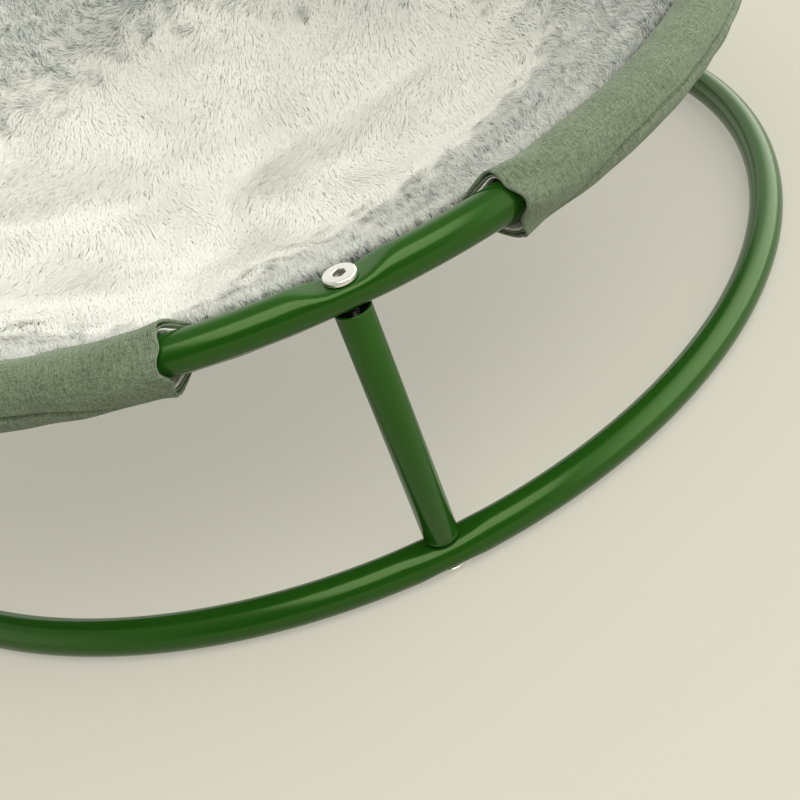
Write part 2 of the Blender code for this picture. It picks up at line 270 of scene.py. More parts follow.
@dataclass(frozen=True)
class ZincPlate:
    """Bright zinc plate on turned steel.

    The eye sees a pale, faintly warm metal with a soft sheen and fine turning marks. Up its map a
    bolt turns from its head to its thread, which is darkened with painted shade, and so is its
    socket.
    """

    name: str = "bright_zinc_plate"
    colour: str = "#f0efe8"
    stain: str = "#dcdcd6"
    smoothest: float = 0.24
    roughest: float = 0.38
    mark_width: float = 0.35 * MM
    mark_height: float = 0.01 * MM
    shade_start: float = 10.0 * MM
    shade_full: float = 10.4 * MM
    painted_shade: str = "#3a3a35"

    def make(self) -> bpy.types.Material:
        """Return the plated steel's material."""
        finish = Finish(self.name, "UV")
        marks = finish.noise(self.mark_width, Detail=3.0)
        tone = finish.blend(marks, self.stain, self.colour)
        # Painted shade: up the map the thread and the socket rows are darkened towards the
        # painted-shade colour.
        shade_share = finish.spread(finish.axis("Y"), 0.0, 1.0, self.shade_start, self.shade_full)
        return finish.done(
            {
                "Base Color": finish.blend(shade_share, tone, self.painted_shade),
                "Normal": finish.bump(marks, self.mark_height),
                "Roughness": finish.spread(marks, self.smoothest, self.roughest),
                "Metallic": 1.0,
            }
        )


@dataclass(frozen=True)
class HeatheredLinen:
    """Heathered linen-look polyester, a plain weave of mixed dark and pale green threads.

    The eye sees a grey-green ground, short dark and pale slubs that run along the threads both
    ways, and a fine crossing grain. The real threads lie about 0.4 mm apart, which is too fine
    for the render, so they are drawn nearly twice as wide.
    """

    name: str = "sage_heathered_linen"
    ground: str = "#707e67"
    pale: str = "#8f9e80"
    dark: str = "#3f4d34"
    thread_spacing: float = 0.7 * MM
    slub_length: float = 3 * MM
    slub_width: float = 0.65 * MM
    warp_share: float = 0.55
    fleck_share: float = 0.9
    darkest_at: float = 0.84
    palest_at: float = 1.6
    ground_at: float = 0.47
    gap_shade: float = 0.72
    cloud_shade: float = 0.86
    brightest: float = 1.12
    cloud_width: float = 30 * MM
    relief: float = 0.16 * MM
    relief_strength: float = 0.7

    def streaks(self, finish: Finish, along: int, seed: float) -> Socket:
        """Return noise from 0 to 1 that is stretched along one thread direction.

        Args:
            finish: the material at work.
            along: the axis that the threads follow, 0 or 1.
            seed: an offset that makes each call's streaks its own.
        """
        scale = [1 / self.slub_width, 1 / self.slub_width, 1.0]
        scale[along] = 1 / self.slub_length
        inputs = {"Vector": finish.place, "Location": (seed, seed, seed), "Scale": scale}
        turned = finish.add("Mapping", inputs).outputs["Vector"]
        return finish.noise(1.0, Vector=turned, Detail=4.0, Roughness=0.65)

    def make(self) -> bpy.types.Material:
        """Return the cloth's material."""
        finish = Finish(self.name, "UV")
        warp, weft = self.streaks(finish, 0, 3.7), self.streaks(finish, 1, 11.3)
        scale = TURN / (20 * self.thread_spacing)
        thread = {"Vector": finish.place, "Scale": scale, "Distortion": 0.5}
        waves = [finish.add("TexWave", thread, bands_direction=way) for way in ("X", "Y")]
        weave = finish.math("MULTIPLY", *[wave.outputs["Fac"] for wave in waves])
        both = finish.math("MULTIPLY_ADD", warp, self.warp_share, weft)
        fleck = finish.noise(self.thread_spacing / 0.7, Detail=2.0, Roughness=0.8)
        mixed = finish.math("MULTIPLY_ADD", fleck, self.fleck_share, both)
        level = finish.spread(mixed, 0.0, 1.0, self.darkest_at, self.palest_at)
        heather = finish.add("ValToRGB", {"Fac": level})
        ramp = heather.color_ramp
        ramp.elements[0].color = hex_colour(self.dark)
        ramp.elements[1].color = hex_colour(self.pale)
        ramp.elements.new(self.ground_at).color = hex_colour(self.ground)
        gaps = finish.spread(weave, self.gap_shade, self.brightest)
        shaded = finish.blend(1.0, heather.outputs["Color"], gaps, "MULTIPLY")
        worn = finish.spread(finish.noise(self.cloud_width), self.cloud_shade, self.brightest)
        height = finish.math("ADD", weave, mixed)
        return finish.done(
            {
                "Base Color": finish.blend(1.0, shaded, worn, "MULTIPLY"),
                "Normal": finish.bump(height, self.relief, self.relief_strength),
                "Roughness": 0.9,
                "Specular IOR Level": 0.25,
                "Sheen Weight": 0.12,
                "Sheen Roughness": 0.5,
            }
        )


@dataclass(frozen=True)
class PlushPile:
    """Acrylic pile, cut and brushed, with white tips over grey roots.

    The eye sees soft near-white fur whose grey shows only where it parts. Across a fibre's map
    its root runs from pale at 0 to slate at 1, and up the map it turns from root to tip. The
    fibres glow a little, for the light that real ones pass on among themselves.
    """

    name: str = "frosted_plush_pile"
    tip: str = "#f6f7f1"
    root: str = "#e8e9e3"
    slate: str = "#6f7b79"
    sheen: float = 0.15
    translucence: float = 0.35
    glow: float = 0.07

    def make(self) -> bpy.types.Material:
        """Return the pile's material."""
        finish = Finish(self.name, "UV")
        base = finish.blend(finish.axis("X"), self.root, self.slate)
        fibre = finish.blend(finish.axis("Y"), base, self.tip)
        through = finish.add("BsdfTranslucent", {"Color": fibre}).outputs["BSDF"]
        shares = {0: self.translucence, 1: finish.shader.outputs["BSDF"], 2: through}
        both = finish.add("MixShader", shares).outputs["Shader"]
        fill_inputs(finish.tree, finish.tree.nodes["Material Output"], {"Surface": both})
        return finish.done(
            {
                "Base Color": fibre,
                "Emission Color": fibre,
                "Emission Strength": self.glow,
                "Roughness": 0.8,
                "Specular IOR Level": 0.15,
                "Sheen Weight": self.sheen,
                "Sheen Roughness": 0.4,
            }
        )


@dataclass(frozen=True)
class PlushGround:
    """The knitted ground that the pile stands in.

    The eye sees it only between the fibres, as a dim cream with a fine grain.
    """

    cream: str = "#eeeee4"
    shade: str = "#d6d8ce"
    loop_width: float = 1.4 * MM
    relief: float = 0.4 * MM

    def make(self) -> bpy.types.Material:
        """Return the ground's material."""
        finish = Finish("plush_knit_ground", "Object")
        grid = {"Vector": finish.place, "Scale": 1 / self.loop_width}
        loops = finish.add("TexVoronoi", grid).outputs["Distance"]
        return finish.done(
            {
                "Base Color": finish.blend(loops, self.shade, self.cream),
                "Normal": finish.bump(loops, self.relief),
                "Roughness": 0.95,
            }
        )


@dataclass(frozen=True)
class StudioFloor:
    """A white acrylic shooting table, lit a little from below.

    The eye sees a warm pale grey with faint clouds, no gloss and weak shadows.
    """

    colour: str = "#918f84"
    shade: str = "#8c8b80"
    glow_colour: str = "#fffbec"
    glow: float = 0.36
    cloud_width: float = 0.25

    def make(self) -> bpy.types.Material:
        """Return the table's material."""
        finish = Finish("white_acrylic_table", "Object")
        return finish.done(
            {
                "Base Color": finish.blend(finish.noise(self.cloud_width), self.shade, self.colour),
                "Roughness": 0.8,
                "Specular IOR Level": 0.2,
                "Emission Color": hex_colour(self.glow_colour),
                "Emission Strength": self.glow,
            }
        )


@dataclass(frozen=True)
class Patch:
    """A grid of points that becomes four-cornered faces.

    Attributes:
        points: rows by columns by 3.
        texture: map coordinates, rows by columns by 2, with one more row or column where the
            grid closes on itself.
        ring_rows: whether the last row joins the first.
        ring_columns: whether the last column joins the first.
        flipped: whether the faces turn the other way from columns crossed with rows.
    """

    points: np.ndarray
    texture: np.ndarray | None = None
    ring_rows: bool = False
    ring_columns: bool = False
    flipped: bool = False

    def corners(self) -> tuple[np.ndarray, np.ndarray]:
        """Return each face's corners, in the grid and in its map."""
        rows, columns = self.points.shape[:2]
        row, column = np.meshgrid(
            np.arange(rows - 1 + self.ring_rows),
            np.arange(columns - 1 + self.ring_columns),
            indexing="ij",
        )
        steps = [(0, 0), (0, 1), (1, 1), (1, 0)]
        if self.flipped:
            steps = steps[::-1]
        places = [(row + down) % rows * columns + (column + over) % columns for down, over in steps]
        wide = columns + self.ring_columns
        mapped = [(row + down) * wide + column + over for down, over in steps]
        return np.stack(places, -1).reshape(-1, 4), np.stack(mapped, -1).reshape(-1, 4)


def fill_mesh(
    name: str,
    points: np.ndarray,
    corners: np.ndarray,
    starts: np.ndarray,
    texture: np.ndarray | None,
) -> bpy.types.Mesh:
    """Put whole arrays of points and faces into a new mesh, shaded smooth.

    Args:
        name: the mesh's name.
        points: the points, n by 3.
        corners: the point of each face corner, one after another.
        starts: where each face's corners start.
        texture: the map coordinates of each face corner.

    Returns:
        The mesh.
    """
    mesh = bpy.data.meshes.new(name)
    mesh.vertices.add(len(points))
    mesh.vertices.foreach_set("co", np.ascontiguousarray(points, np.float32).ravel())
    mesh.loops.add(len(corners))
    mesh.loops.foreach_set("vertex_index", np.ascontiguousarray(corners, np.int32))
    mesh.polygons.add(len(starts))
    mesh.polygons.foreach_set("loop_start", np.ascontiguousarray(starts, np.int32))
    mesh.polygons.foreach_set("use_smooth", np.ones(len(starts), bool))
    mesh.update(calc_edges=True)
    if texture is not None:
        layer = mesh.uv_layers.new(name="cloth")
        layer.data.foreach_set("uv", np.ascontiguousarray(texture, np.float32).ravel())
    return mesh


def patch_mesh(name: str, patches: list[Patch], weld: bool = False) -> bpy.types.Mesh:
    """Join patches into one mesh.

    Args:
        name: the mesh's name.
        patches: the grids, each with a map or none with one.
        weld: whether points that coincide become one, as at poles and where patches meet.

    Returns:
        The mesh.
    """
    base, places, maps = 0, [], []
    for patch in patches:
        place, mapped = patch.corners()
        places.append(place + base)
        if patch.texture is not None:
            maps.append(patch.texture.reshape(-1, 2)[mapped])
        base += patch.points.shape[0] * patch.points.shape[1]
    points = np.concatenate([patch.points.reshape(-1, 3) for patch in patches])
    corners = np.concatenate(places)
    texture = np.concatenate(maps).reshape(-1, 2) if maps else None
    mesh = fill_mesh(name, points, corners.ravel(), np.arange(len(corners)) * 4, texture)
    if weld:
        work = bmesh.new()
        work.from_mesh(mesh)
        bmesh.ops.remove_doubles(work, verts=work.verts, dist=0.002 * MM)
        bmesh.ops.dissolve_degenerate(work, edges=work.edges, dist=0.002 * MM)
        work.to_mesh(mesh)
        work.free()
    return mesh


def add_object(name: str, data: bpy.types.ID) -> bpy.types.Object:
    """Return a new object that holds the data and is in the scene."""
    new = bpy.data.objects.new(name, data)
    bpy.context.scene.collection.objects.link(new)
    return new


def place_piece(
    name: str, mesh: bpy.types.Mesh, material: bpy.types.Material, nodes: tuple[str, ...]
) -> bpy.types.Object:
    """Make a mesh into a piece of the bed.

    Args:
        name: the piece's name.
        mesh: its mesh, in the model's frame.
        material: its finish.
        nodes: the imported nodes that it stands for.

    Returns:
        The piece.
    """
    piece = add_object(name, mesh)
    mesh.materials.append(material)
    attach(piece, "root")
    if nodes:
        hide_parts(*nodes)
    return piece


def thicken(piece: bpy.types.Object, thickness: float) -> None:
    """Give a piece of cloth its thickness, inwards."""
    solid = piece.modifiers.new("cloth", "SOLIDIFY")
    solid.thickness = thickness
    solid.offset = -1


def report(piece: bpy.types.Object) -> None:
    """Log a finished piece with its number of faces."""
    LOG.info("%s: %d faces", piece.name, len(piece.data.polygons))


def full_turn(steps: int) -> np.ndarray:
    """Return evenly spaced angles of one turn, without the last, which is the first again."""
    return np.linspace(0, TURN, steps, endpoint=False)


def smooth_step(value: np.ndarray) -> np.ndarray:
    """Return an ease from 0 to 1: three times the square less twice the cube, held at its ends."""
    held = np.clip(value, 0, 1)
    return held * held * (3 - 2 * held)


def grown(pair: tuple[float, float], share: np.ndarray) -> np.ndarray:
    """Return the pair's first number, grown by its second times the share."""
    return pair[0] + pair[1] * share


def plane_waves(
    x: np.ndarray, y: np.ndarray, length: float, seed: int, count: int = 9
) -> np.ndarray:
    """Return soft noise: a sum of plane waves in random directions, about -1 to 1.

    Args:
        x: first coordinate.
        y: second coordinate.
        length: the waves' mean length, in the coordinates' unit.
        seed: the seed of the directions.
        count: how many waves are summed.
    """
    random = np.random.default_rng(seed)
    total = np.zeros(np.broadcast(x, y).shape)
    for _ in range(count):
        turn, phase = random.random(2) * TURN
        own = length * random.uniform(0.7, 1.5)
        total += np.sin((x * math.cos(turn) + y * math.sin(turn)) * TURN / own + phase)
    return total / math.sqrt(count)


def around(angle: np.ndarray, out: np.ndarray, height: np.ndarray) -> np.ndarray:
    """Return points at angles round the bed, distances from its axis, and heights."""
    return np.stack(np.broadcast_arrays(out * np.cos(angle), out * np.sin(angle), height), -1)


@dataclass(frozen=True)
class FrameSizes:
    """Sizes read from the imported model's boxes.

    Attributes:
        ring_radius: from the bed's axis to a ring tube's centre.
        tube_radius: of both ring tubes.
        lower_centre: height of the lower ring tube's centre.
        upper_centre: height of the upper ring tube's centre.
        post_foot: height of the posts' lower ends.
        post_head: height of the posts' upper ends.
        head_face: height of the upper bolt heads' faces.
        lower_face: height of the lower bolt heads' faces.
        upper_bolt: the upper bolts' height, head and shank.
        lower_bolt: the lower bolts' height, head and shank.
        sling_radius: from the bed's axis to the lining's edge.
    """

    ring_radius: float
    tube_radius: float
    lower_centre: float
    upper_centre: float
    post_foot: float
    post_head: float
    head_face: float
    lower_face: float
    upper_bolt: float
    lower_bolt: float
    sling_radius: float

    @classmethod
    def read(cls) -> "FrameSizes":
        """Return the sizes of the loaded model."""
        ring_low, ring_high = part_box("lower_ring")
        arc_low, arc_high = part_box("upper_arc_front")
        post_low, post_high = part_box("post_front")
        lining_low, lining_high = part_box("plush_lining")
        top_low, top_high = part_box("bolt_top_front")
        bottom_low, bottom_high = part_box("bolt_bottom_front")
        return cls(
            ring_radius=-(post_low.y + post_high.y) / 2,
            tube_radius=(ring_high.z - ring_low.z) / 2,
            lower_centre=(ring_high.z + ring_low.z) / 2,
            upper_centre=(arc_high.z + arc_low.z) / 2,
            post_foot=post_low.z,
            post_head=post_high.z,
            head_face=top_high.z,
            lower_face=bottom_low.z,
            upper_bolt=top_high.z - top_low.z,
            lower_bolt=bottom_high.z - bottom_low.z,
            sling_radius=(lining_high.x - lining_low.x) / 2,
        )


@dataclass(frozen=True)
class PressedTube:
    """A ring of tube that a press has squashed oval at each post.

    Attributes:
        sizes: the model's sizes.
        centre: height of the tube's centre.
        side: 1 where the bolt head's seat is on top, -1 where it is underneath.
        press: how far the seat lies inside the round tube.
        counter: how far the post's end has flattened the other side.
        soften: rounding of the flats' edges.
        swell: how much wider the tube is at a seat, as a share.
        wall: thickness of the tube's wall.
        flat: length of the seat's flat.
        length: length over which the tube turns oval and back.
        stations: steps along a whole ring.
        sides: steps round the tube.
    """

    sizes: FrameSizes
    centre: float
    side: int
    press: float
    counter: float = 0.35 * MM
    soften: float = 1.1 * MM
    swell: float = 0.06
    wall: float = 1.2 * MM
    flat: float = 10 * MM
    length: float = 46 * MM
    stations: int = 480
    sides: int = 56

    def pressed(self, angle: np.ndarray) -> np.ndarray:
        """Return how far the tube is pressed at angles round the bed, from 0 to 1."""
        third = TURN / len(Corner)
        offset = (angle - Corner.FRONT.angle + third / 2) % third - third / 2
        away = np.abs(offset) * self.sizes.ring_radius
        return 1 - smooth_step((away - self.flat / 2) / (self.length / 2 - self.flat / 2))

    def skin(
        self, angle: np.ndarray, section: np.ndarray, radius: np.ndarray | float
    ) -> np.ndarray:
        """Return the points of one wall of the tube.

        The section is a circle whose height is held under two planes, the seat's and the one
        that the post has pressed. Each limit is a soft one: the softening times the logarithm
        of the summed exponentials of the two heights over the softening. The width grows by
        the swell.

        Args:
            angle: angles round the bed.
            section: angles round the tube.
            radius: the wall's radius in the round tube.
        """
        strength = self.pressed(angle)
        soft = np.maximum(self.soften * strength, 0.02 * MM)
        out = radius * np.cos(section) * (1 + self.swell * strength)
        up = radius * np.sin(section)
        for side, depth in ((self.side, self.press), (-self.side, self.counter)):
            plane = radius - depth * strength
            up = -side * soft * np.logaddexp(-side * up / soft, -plane / soft)
        return around(angle, self.sizes.ring_radius + out, self.centre + up)

    def stations_between(self, start: float, end: float) -> np.ndarray:
        """Return evenly spaced angles from start to end, as a column."""
        count = max(2, round((end - start) / TURN * self.stations) + 1)
        return np.linspace(start, end, count)[:, None]

    def closed_ring(self) -> bpy.types.Mesh:
        """Return the whole ring, welded into a loop, with its inner wall."""
        angle, section = full_turn(self.stations)[:, None], full_turn(self.sides)[None, :]
        radius = self.sizes.tube_radius
        outer = Patch(self.skin(angle, section, radius), None, True, True)
        inner = Patch(self.skin(angle, section, radius - self.wall), None, True, True, True)
        return patch_mesh("lower_ring_tube", [outer, inner])

    def arc(self, start: float, end: float, plug: float, plug_radius: float) -> bpy.types.Mesh:
        """Return an arc of the ring whose far end is a plug that fits the next arc's bore.

        Args:
            start: the angle at which the arc starts.
            end: the angle at which its full-width tube ends.
            plug: length of the plug.
            plug_radius: radius of the plug's outside.
        """
        section = full_turn(self.sides)[None, :]
        radius = self.sizes.tube_radius
        reach = plug / self.sizes.ring_radius
        body = self.stations_between(start, end)
        spigot = self.stations_between(end, end + reach)
        parts = (
            (body, radius),
            (spigot, plug_radius),
            (spigot[::-1], plug_radius - self.wall),
            (body[::-1], radius - self.wall),
        )
        angle = np.concatenate([part for part, _ in parts])
        walls = np.concatenate([np.full_like(part, wall) for part, wall in parts])
        points = self.skin(angle, section, walls)
        return patch_mesh("upper_arc_tube", [Patch(points, None, True, True)])


def turned_mesh(
    name: str, profile: list[tuple[float, float]], centre: np.ndarray, sides: int
) -> bpy.types.Mesh:
    """Turn a closed outline about an upright axis.

    Args:
        name: the mesh's name.
        profile: radius and height of each point.
        centre: a point of the axis.
        sides: how many steps a turn has.

    Returns:
        The mesh, with its map in metres.
    """
    outline = np.array(profile)
    turn = full_turn(sides)
    x = centre[0] + outline[:, :1] * np.cos(turn)
    y = centre[1] + outline[:, :1] * np.sin(turn)
    z = np.broadcast_to(outline[:, 1:], x.shape)
    run = np.concatenate([[0], np.cumsum(np.hypot(*np.diff(outline, axis=0).T))])
    seam = np.linspace(0, TURN, sides + 1)
    widest = outline[:, 0].max()
    texture = np.stack(np.broadcast_arrays(seam[None, :] * widest, run[:, None]), -1)
    texture = np.concatenate([texture, texture[:1]])
    return patch_mesh(name, [Patch(np.stack([x, y, z], -1), texture, True, True)])


def rounded(
    centre: tuple[float, float], radius: float, start: float, end: float, steps: int
) -> list[tuple[float, float]]:
    """Return points of an arc of an outline.

    Args:
        centre: the arc's centre, as radius and height.
        radius: the arc's own radius.
        start: its first angle in degrees, 0 pointing outwards and 90 up.
        end: its last angle in degrees.
        steps: how many points it has.
    """
    turn = np.radians(np.linspace(start, end, steps))
    return [(centre[0] + radius * math.cos(t), centre[1] + radius * math.sin(t)) for t in turn]


@dataclass(frozen=True)
class TubePost:
    """An upright tube post with rolled, open ends.

    Attributes:
        sizes: the model's sizes.
        corner: where the post stands.
        radius: of its outside.
        wall: thickness of its wall.
        groove: depth of the fine line that the rolling leaves under each lip.
        groove_drop: how far that line lies from the end.
        sides: steps of a turn.
    """

    sizes: FrameSizes
    corner: Corner
    radius: float = 7.25 * MM
    wall: float = 1.2 * MM
    groove: float = 0.14 * MM
    groove_drop: float = 1.5 * MM
    sides: int = 72

    def outline(self) -> list[tuple[float, float]]:
        """Return the wall's closed outline: up the outside, round the lips, down the bore."""
        low, high = self.sizes.post_foot, self.sizes.post_head
        lip, out = self.wall / 2, self.radius
        drop, cut = self.groove_drop, self.groove
        line = [(out - cut * s, drop + cut * 2 * (k - 1)) for k, s in enumerate((0, 1, 0))]
        foot = [(r, low + h) for r, h in line]
        head = [(r, high - h) for r, h in line[::-1]]
        return [
            *rounded((out - lip, low + lip), lip, -180, 0, 9),
            *foot,
            *head,
            *rounded((out - lip, high - lip), lip, 0, 180, 9),
        ]

    def build(self, enamel: bpy.types.Material) -> bpy.types.Object:
        """Return the finished post."""
        centre = around(self.corner.angle, self.sizes.ring_radius, 0.0)
        mesh = turned_mesh("post_tube", self.outline(), centre, self.sides)
        node = f"post_{self.corner.tag}"
        return place_piece(f"{node}_tube", mesh, enamel, (node,))


@dataclass(frozen=True)
class ThreadedInsert:
    """A steel insert, pressed into a post's end and threaded for the bolt.

    Attributes:
        sizes: the model's sizes.
        corner: the post that holds it.
        top: whether it sits in the upper end.
        radius: of its outside.
        bore: radius of its thread.
        length: its height.
        recess: how far it lies inside the post's end.
        chamfer: of its edges.
        sides: steps of a turn.
    """

    sizes: FrameSizes
    corner: Corner
    top: bool
    radius: float = 5.75 * MM
    bore: float = 3.3 * MM
    length: float = 12 * MM
    recess: float = 3 * MM
    chamfer: float = 0.5 * MM
    sides: int = 48

    def build(self, zinc: bpy.types.Material) -> bpy.types.Object:
        """Return the finished insert."""
        chamfer = self.chamfer
        if self.top:
            high = self.sizes.post_head - self.recess
        else:
            high = self.sizes.post_foot + self.recess + self.length
        low = high - self.length
        outline = [
            (self.bore, low + chamfer),
            (self.bore + chamfer, low),
            (self.radius - chamfer, low),
            (self.radius, low + chamfer),
            (self.radius, high - chamfer),
            (self.radius - chamfer, high),
            (self.bore + chamfer, high),
            (self.bore, high - chamfer),
        ]
        centre = around(self.corner.angle, self.sizes.ring_radius, 0.0)
        mesh = turned_mesh("insert", outline, centre, self.sides)
        mesh.set_sharp_from_angle(angle=math.radians(30))
        end = "top" if self.top else "bottom"
        node = f"insert_{end}_{self.corner.tag}"
        return place_piece(f"threaded_{node}", mesh, zinc, (node,))


@dataclass(frozen=True)
class HexSocketBolt:
    """A flat-headed bolt with a hexagon socket and a rolled thread.

    Attributes:
        sizes: the model's sizes.
        corner: the post that it holds.
        top: whether its head lies on the upper ring or under the lower one.
        head_radius: of the head.
        head_height: of the head.
        chamfer: rounding of the head's upper edge.
        socket_radius: from the axis to the socket's corners.
        socket_depth: of the socket.
        shank_radius: over the thread.
        pitch: of the thread.
        thread_depth: from crest to root.
        bevel: of the small edges.
        point: how far the thread's end tapers, along it and inwards.
        socket_map: where the socket lies up the map, which is where the finish is half darkened by
            painted shade.
        sides: steps of a turn.
        thread_rows: steps along one pitch.
    """

    sizes: FrameSizes
    corner: Corner
    top: bool
    head_radius: float = 6.5 * MM
    head_height: float = 2.2 * MM
    chamfer: float = 0.9 * MM
    socket_radius: float = 2.7 * MM
    socket_depth: float = 1.8 * MM
    shank_radius: float = 3 * MM
    pitch: float = 1 * MM
    thread_depth: float = 0.5 * MM
    bevel: float = 0.25 * MM
    point: float = 0.6 * MM
    socket_map: float = 10.2 * MM
    sides: int = 60
    thread_rows: int = 6

    @property
    def length(self) -> float:
        """Return the bolt's length under its head."""
        whole = self.sizes.upper_bolt if self.top else self.sizes.lower_bolt
        return whole - self.head_height

    def head_rows(self) -> list[tuple[float, float, bool]]:
        """Return the head's outline from the socket's floor to the neck.

        Each row is a radius, a height above the head's underside, and whether the row follows
        the socket's hexagon or a circle.
        """
        face = self.head_height
        floor = face - self.socket_depth
        bevel = self.bevel
        edge = (self.head_radius - self.chamfer, face - self.chamfer)
        return [
            (0.0, floor - 0.5 * MM, False),
            (self.socket_radius * 0.8, floor, True),
            (self.socket_radius, floor + 0.05 * MM, True),
            (self.socket_radius, face - bevel, True),
            (self.socket_radius + bevel, face, True),
            (self.socket_radius + 2 * bevel, face, False),
            *[(r, h, False) for r, h in rounded(edge, self.chamfer, 88, 0, 8)],
            (self.head_radius, bevel, False),
            (self.head_radius - bevel, 0.0, False),
            (self.shank_radius, 0.0, False),
        ]

    def build(self, zinc: bpy.types.Material) -> bpy.types.Object:
        """Return the finished bolt.

        The head's rows are circles, or a hexagon whose radius is its inner radius over the
        cosine of the turn from the nearest flat. The thread's radius falls from the crest by
        its depth times a triangle wave of height over pitch less the turn.
        """
        turn = full_turn(self.sides)
        sixth = TURN / 6
        flat = (turn + sixth / 2) % sixth - sixth / 2
        hexagon = math.cos(sixth / 2) / np.cos(flat)
        head = self.head_rows()
        round_row = np.ones_like(turn)
        radii = np.array([r * (hexagon if follows else round_row) for r, _, follows in head])
        heights = np.array([np.full_like(turn, h) for _, h, _ in head])
        steps = round(self.length / self.pitch * self.thread_rows)
        down = np.linspace(0, 1, steps)[1:, None] * (self.length - self.point)
        wave = np.abs((down / self.pitch - turn[None, :] / TURN) % 1 * 2 - 1)
        fade = smooth_step(down / (2 * self.pitch)) * smooth_step((self.length - down) / self.pitch)
        thread = self.shank_radius - self.thread_depth * wave * fade
        tip = np.array([[self.shank_radius - self.point], [0.0]]) + 0 * turn
        radii = np.concatenate([radii, thread, tip])
        ends = np.full((2, self.sides), -self.length)
        heights = np.concatenate([heights, -down + 0 * turn, ends])
        centre = around(self.corner.angle, self.sizes.ring_radius, 0.0)
        sign = 1 if self.top else -1
        base = self.sizes.head_face if self.top else self.sizes.lower_face
        x = centre[0] + radii * np.cos(turn)
        y = centre[1] + radii * np.sin(turn) * sign
        z = base + sign * (heights - self.head_height)
        seam = np.concatenate([turn, [TURN]]) * self.head_radius
        rows = np.cumsum(np.abs(np.diff(radii[:, 0], prepend=0)))[:, None]
        # The socket's rows take the half-shaded place on the map, so the socket is painted half in
        # shade.
        rows[:4] = self.socket_map
        texture = np.stack(np.broadcast_arrays(seam[None, :] * 0.2, rows), -1)
        points = np.stack([x, y, z], -1)
        mesh = patch_mesh("bolt", [Patch(points, texture, False, True, True)], weld=True)
        mesh.set_sharp_from_angle(angle=math.radians(35))
        end = "top" if self.top else "bottom"
        node = f"bolt_{end}_{self.corner.tag}"
        return place_piece(f"hex_{node}", mesh, zinc, (node,))


@dataclass(frozen=True)
class SlingShape:
    """The hanging surface that the lining and the underside follow.

    Its height under the rim is the depth times one less the swell power of the distance from
    the axis as a share of the radius. The edge droops between the sleeves, eight soft folds
    run in from it, and straight waves that cross each other dent the middle.

    Attributes:
        radius: from the bed's axis to the sling's edge.
        rim: height of the upper ring's centre.
        depth: of the sling at its middle.
        power: of its swell.
        droop: how far the edge hangs lower at a post.
        fold: height of the folds.
        folds: how many folds there are.
        fold_turn: where the first fold lies, in degrees.
        dent: height of each wave of dents.
        dent_length: length of the first wave.
        dent_count: how many waves cross.
        dent_lengthen: how much longer each wave is than the one before, as a share.
        dent_turn: the first wave's heading, in degrees.
        dent_fade: power with which the dents fade towards the edge.
    """

    radius: float
    rim: float
    depth: float = 78 * MM
    power: float = 2.2
    droop: float = 3 * MM
    fold: float = 2.8 * MM
    folds: int = 8
    fold_turn: float = 20.0
    dent: float = 1.0 * MM
    dent_length: float = 78 * MM
    dent_count: int = 3
    dent_lengthen: float = 0.3
    dent_turn: float = 25.0
    dent_fade: float = 6.0

    def height(self, x: np.ndarray, y: np.ndarray) -> np.ndarray:
        """Return the surface's height at points of the plan."""
        share = np.hypot(x, y) / self.radius
        angle = np.arctan2(y, x)
        bowl = self.depth * (1 - share**self.power)
        third = len(Corner) * (angle - Corner.FRONT.angle)
        droop = self.droop * (0.5 + 0.5 * np.cos(third)) ** 2 * share**2
        wave = np.cos(self.folds * angle + math.radians(self.fold_turn))
        fold = self.fold * wave * 27 / 4 * share**2 * (1 - share)
        waves = 0.0
        for index in range(self.dent_count):
            heading = math.radians(self.dent_turn) + index * math.pi / self.dent_count
            length = self.dent_length * (1 + index * self.dent_lengthen)
            along = x * math.cos(heading) + y * math.sin(heading)
            waves = waves + np.cos(TURN * along / length + index)
        dents = self.dent * waves * (1 - np.clip(share, 0, 1) ** self.dent_fade)
        return self.rim - bowl - droop + fold + dents

    def normal(self, x: np.ndarray, y: np.ndarray, step: float = 1 * MM) -> np.ndarray:
        """Return the surface's upward unit normals, from differences over a small step."""
        east = (self.height(x + step, y) - self.height(x - step, y)) / (2 * step)
        north = (self.height(x, y + step) - self.height(x, y - step)) / (2 * step)
        normal = np.stack([-east, -north, np.ones_like(east)], -1)
        return normal / np.linalg.norm(normal, axis=-1, keepdims=True)


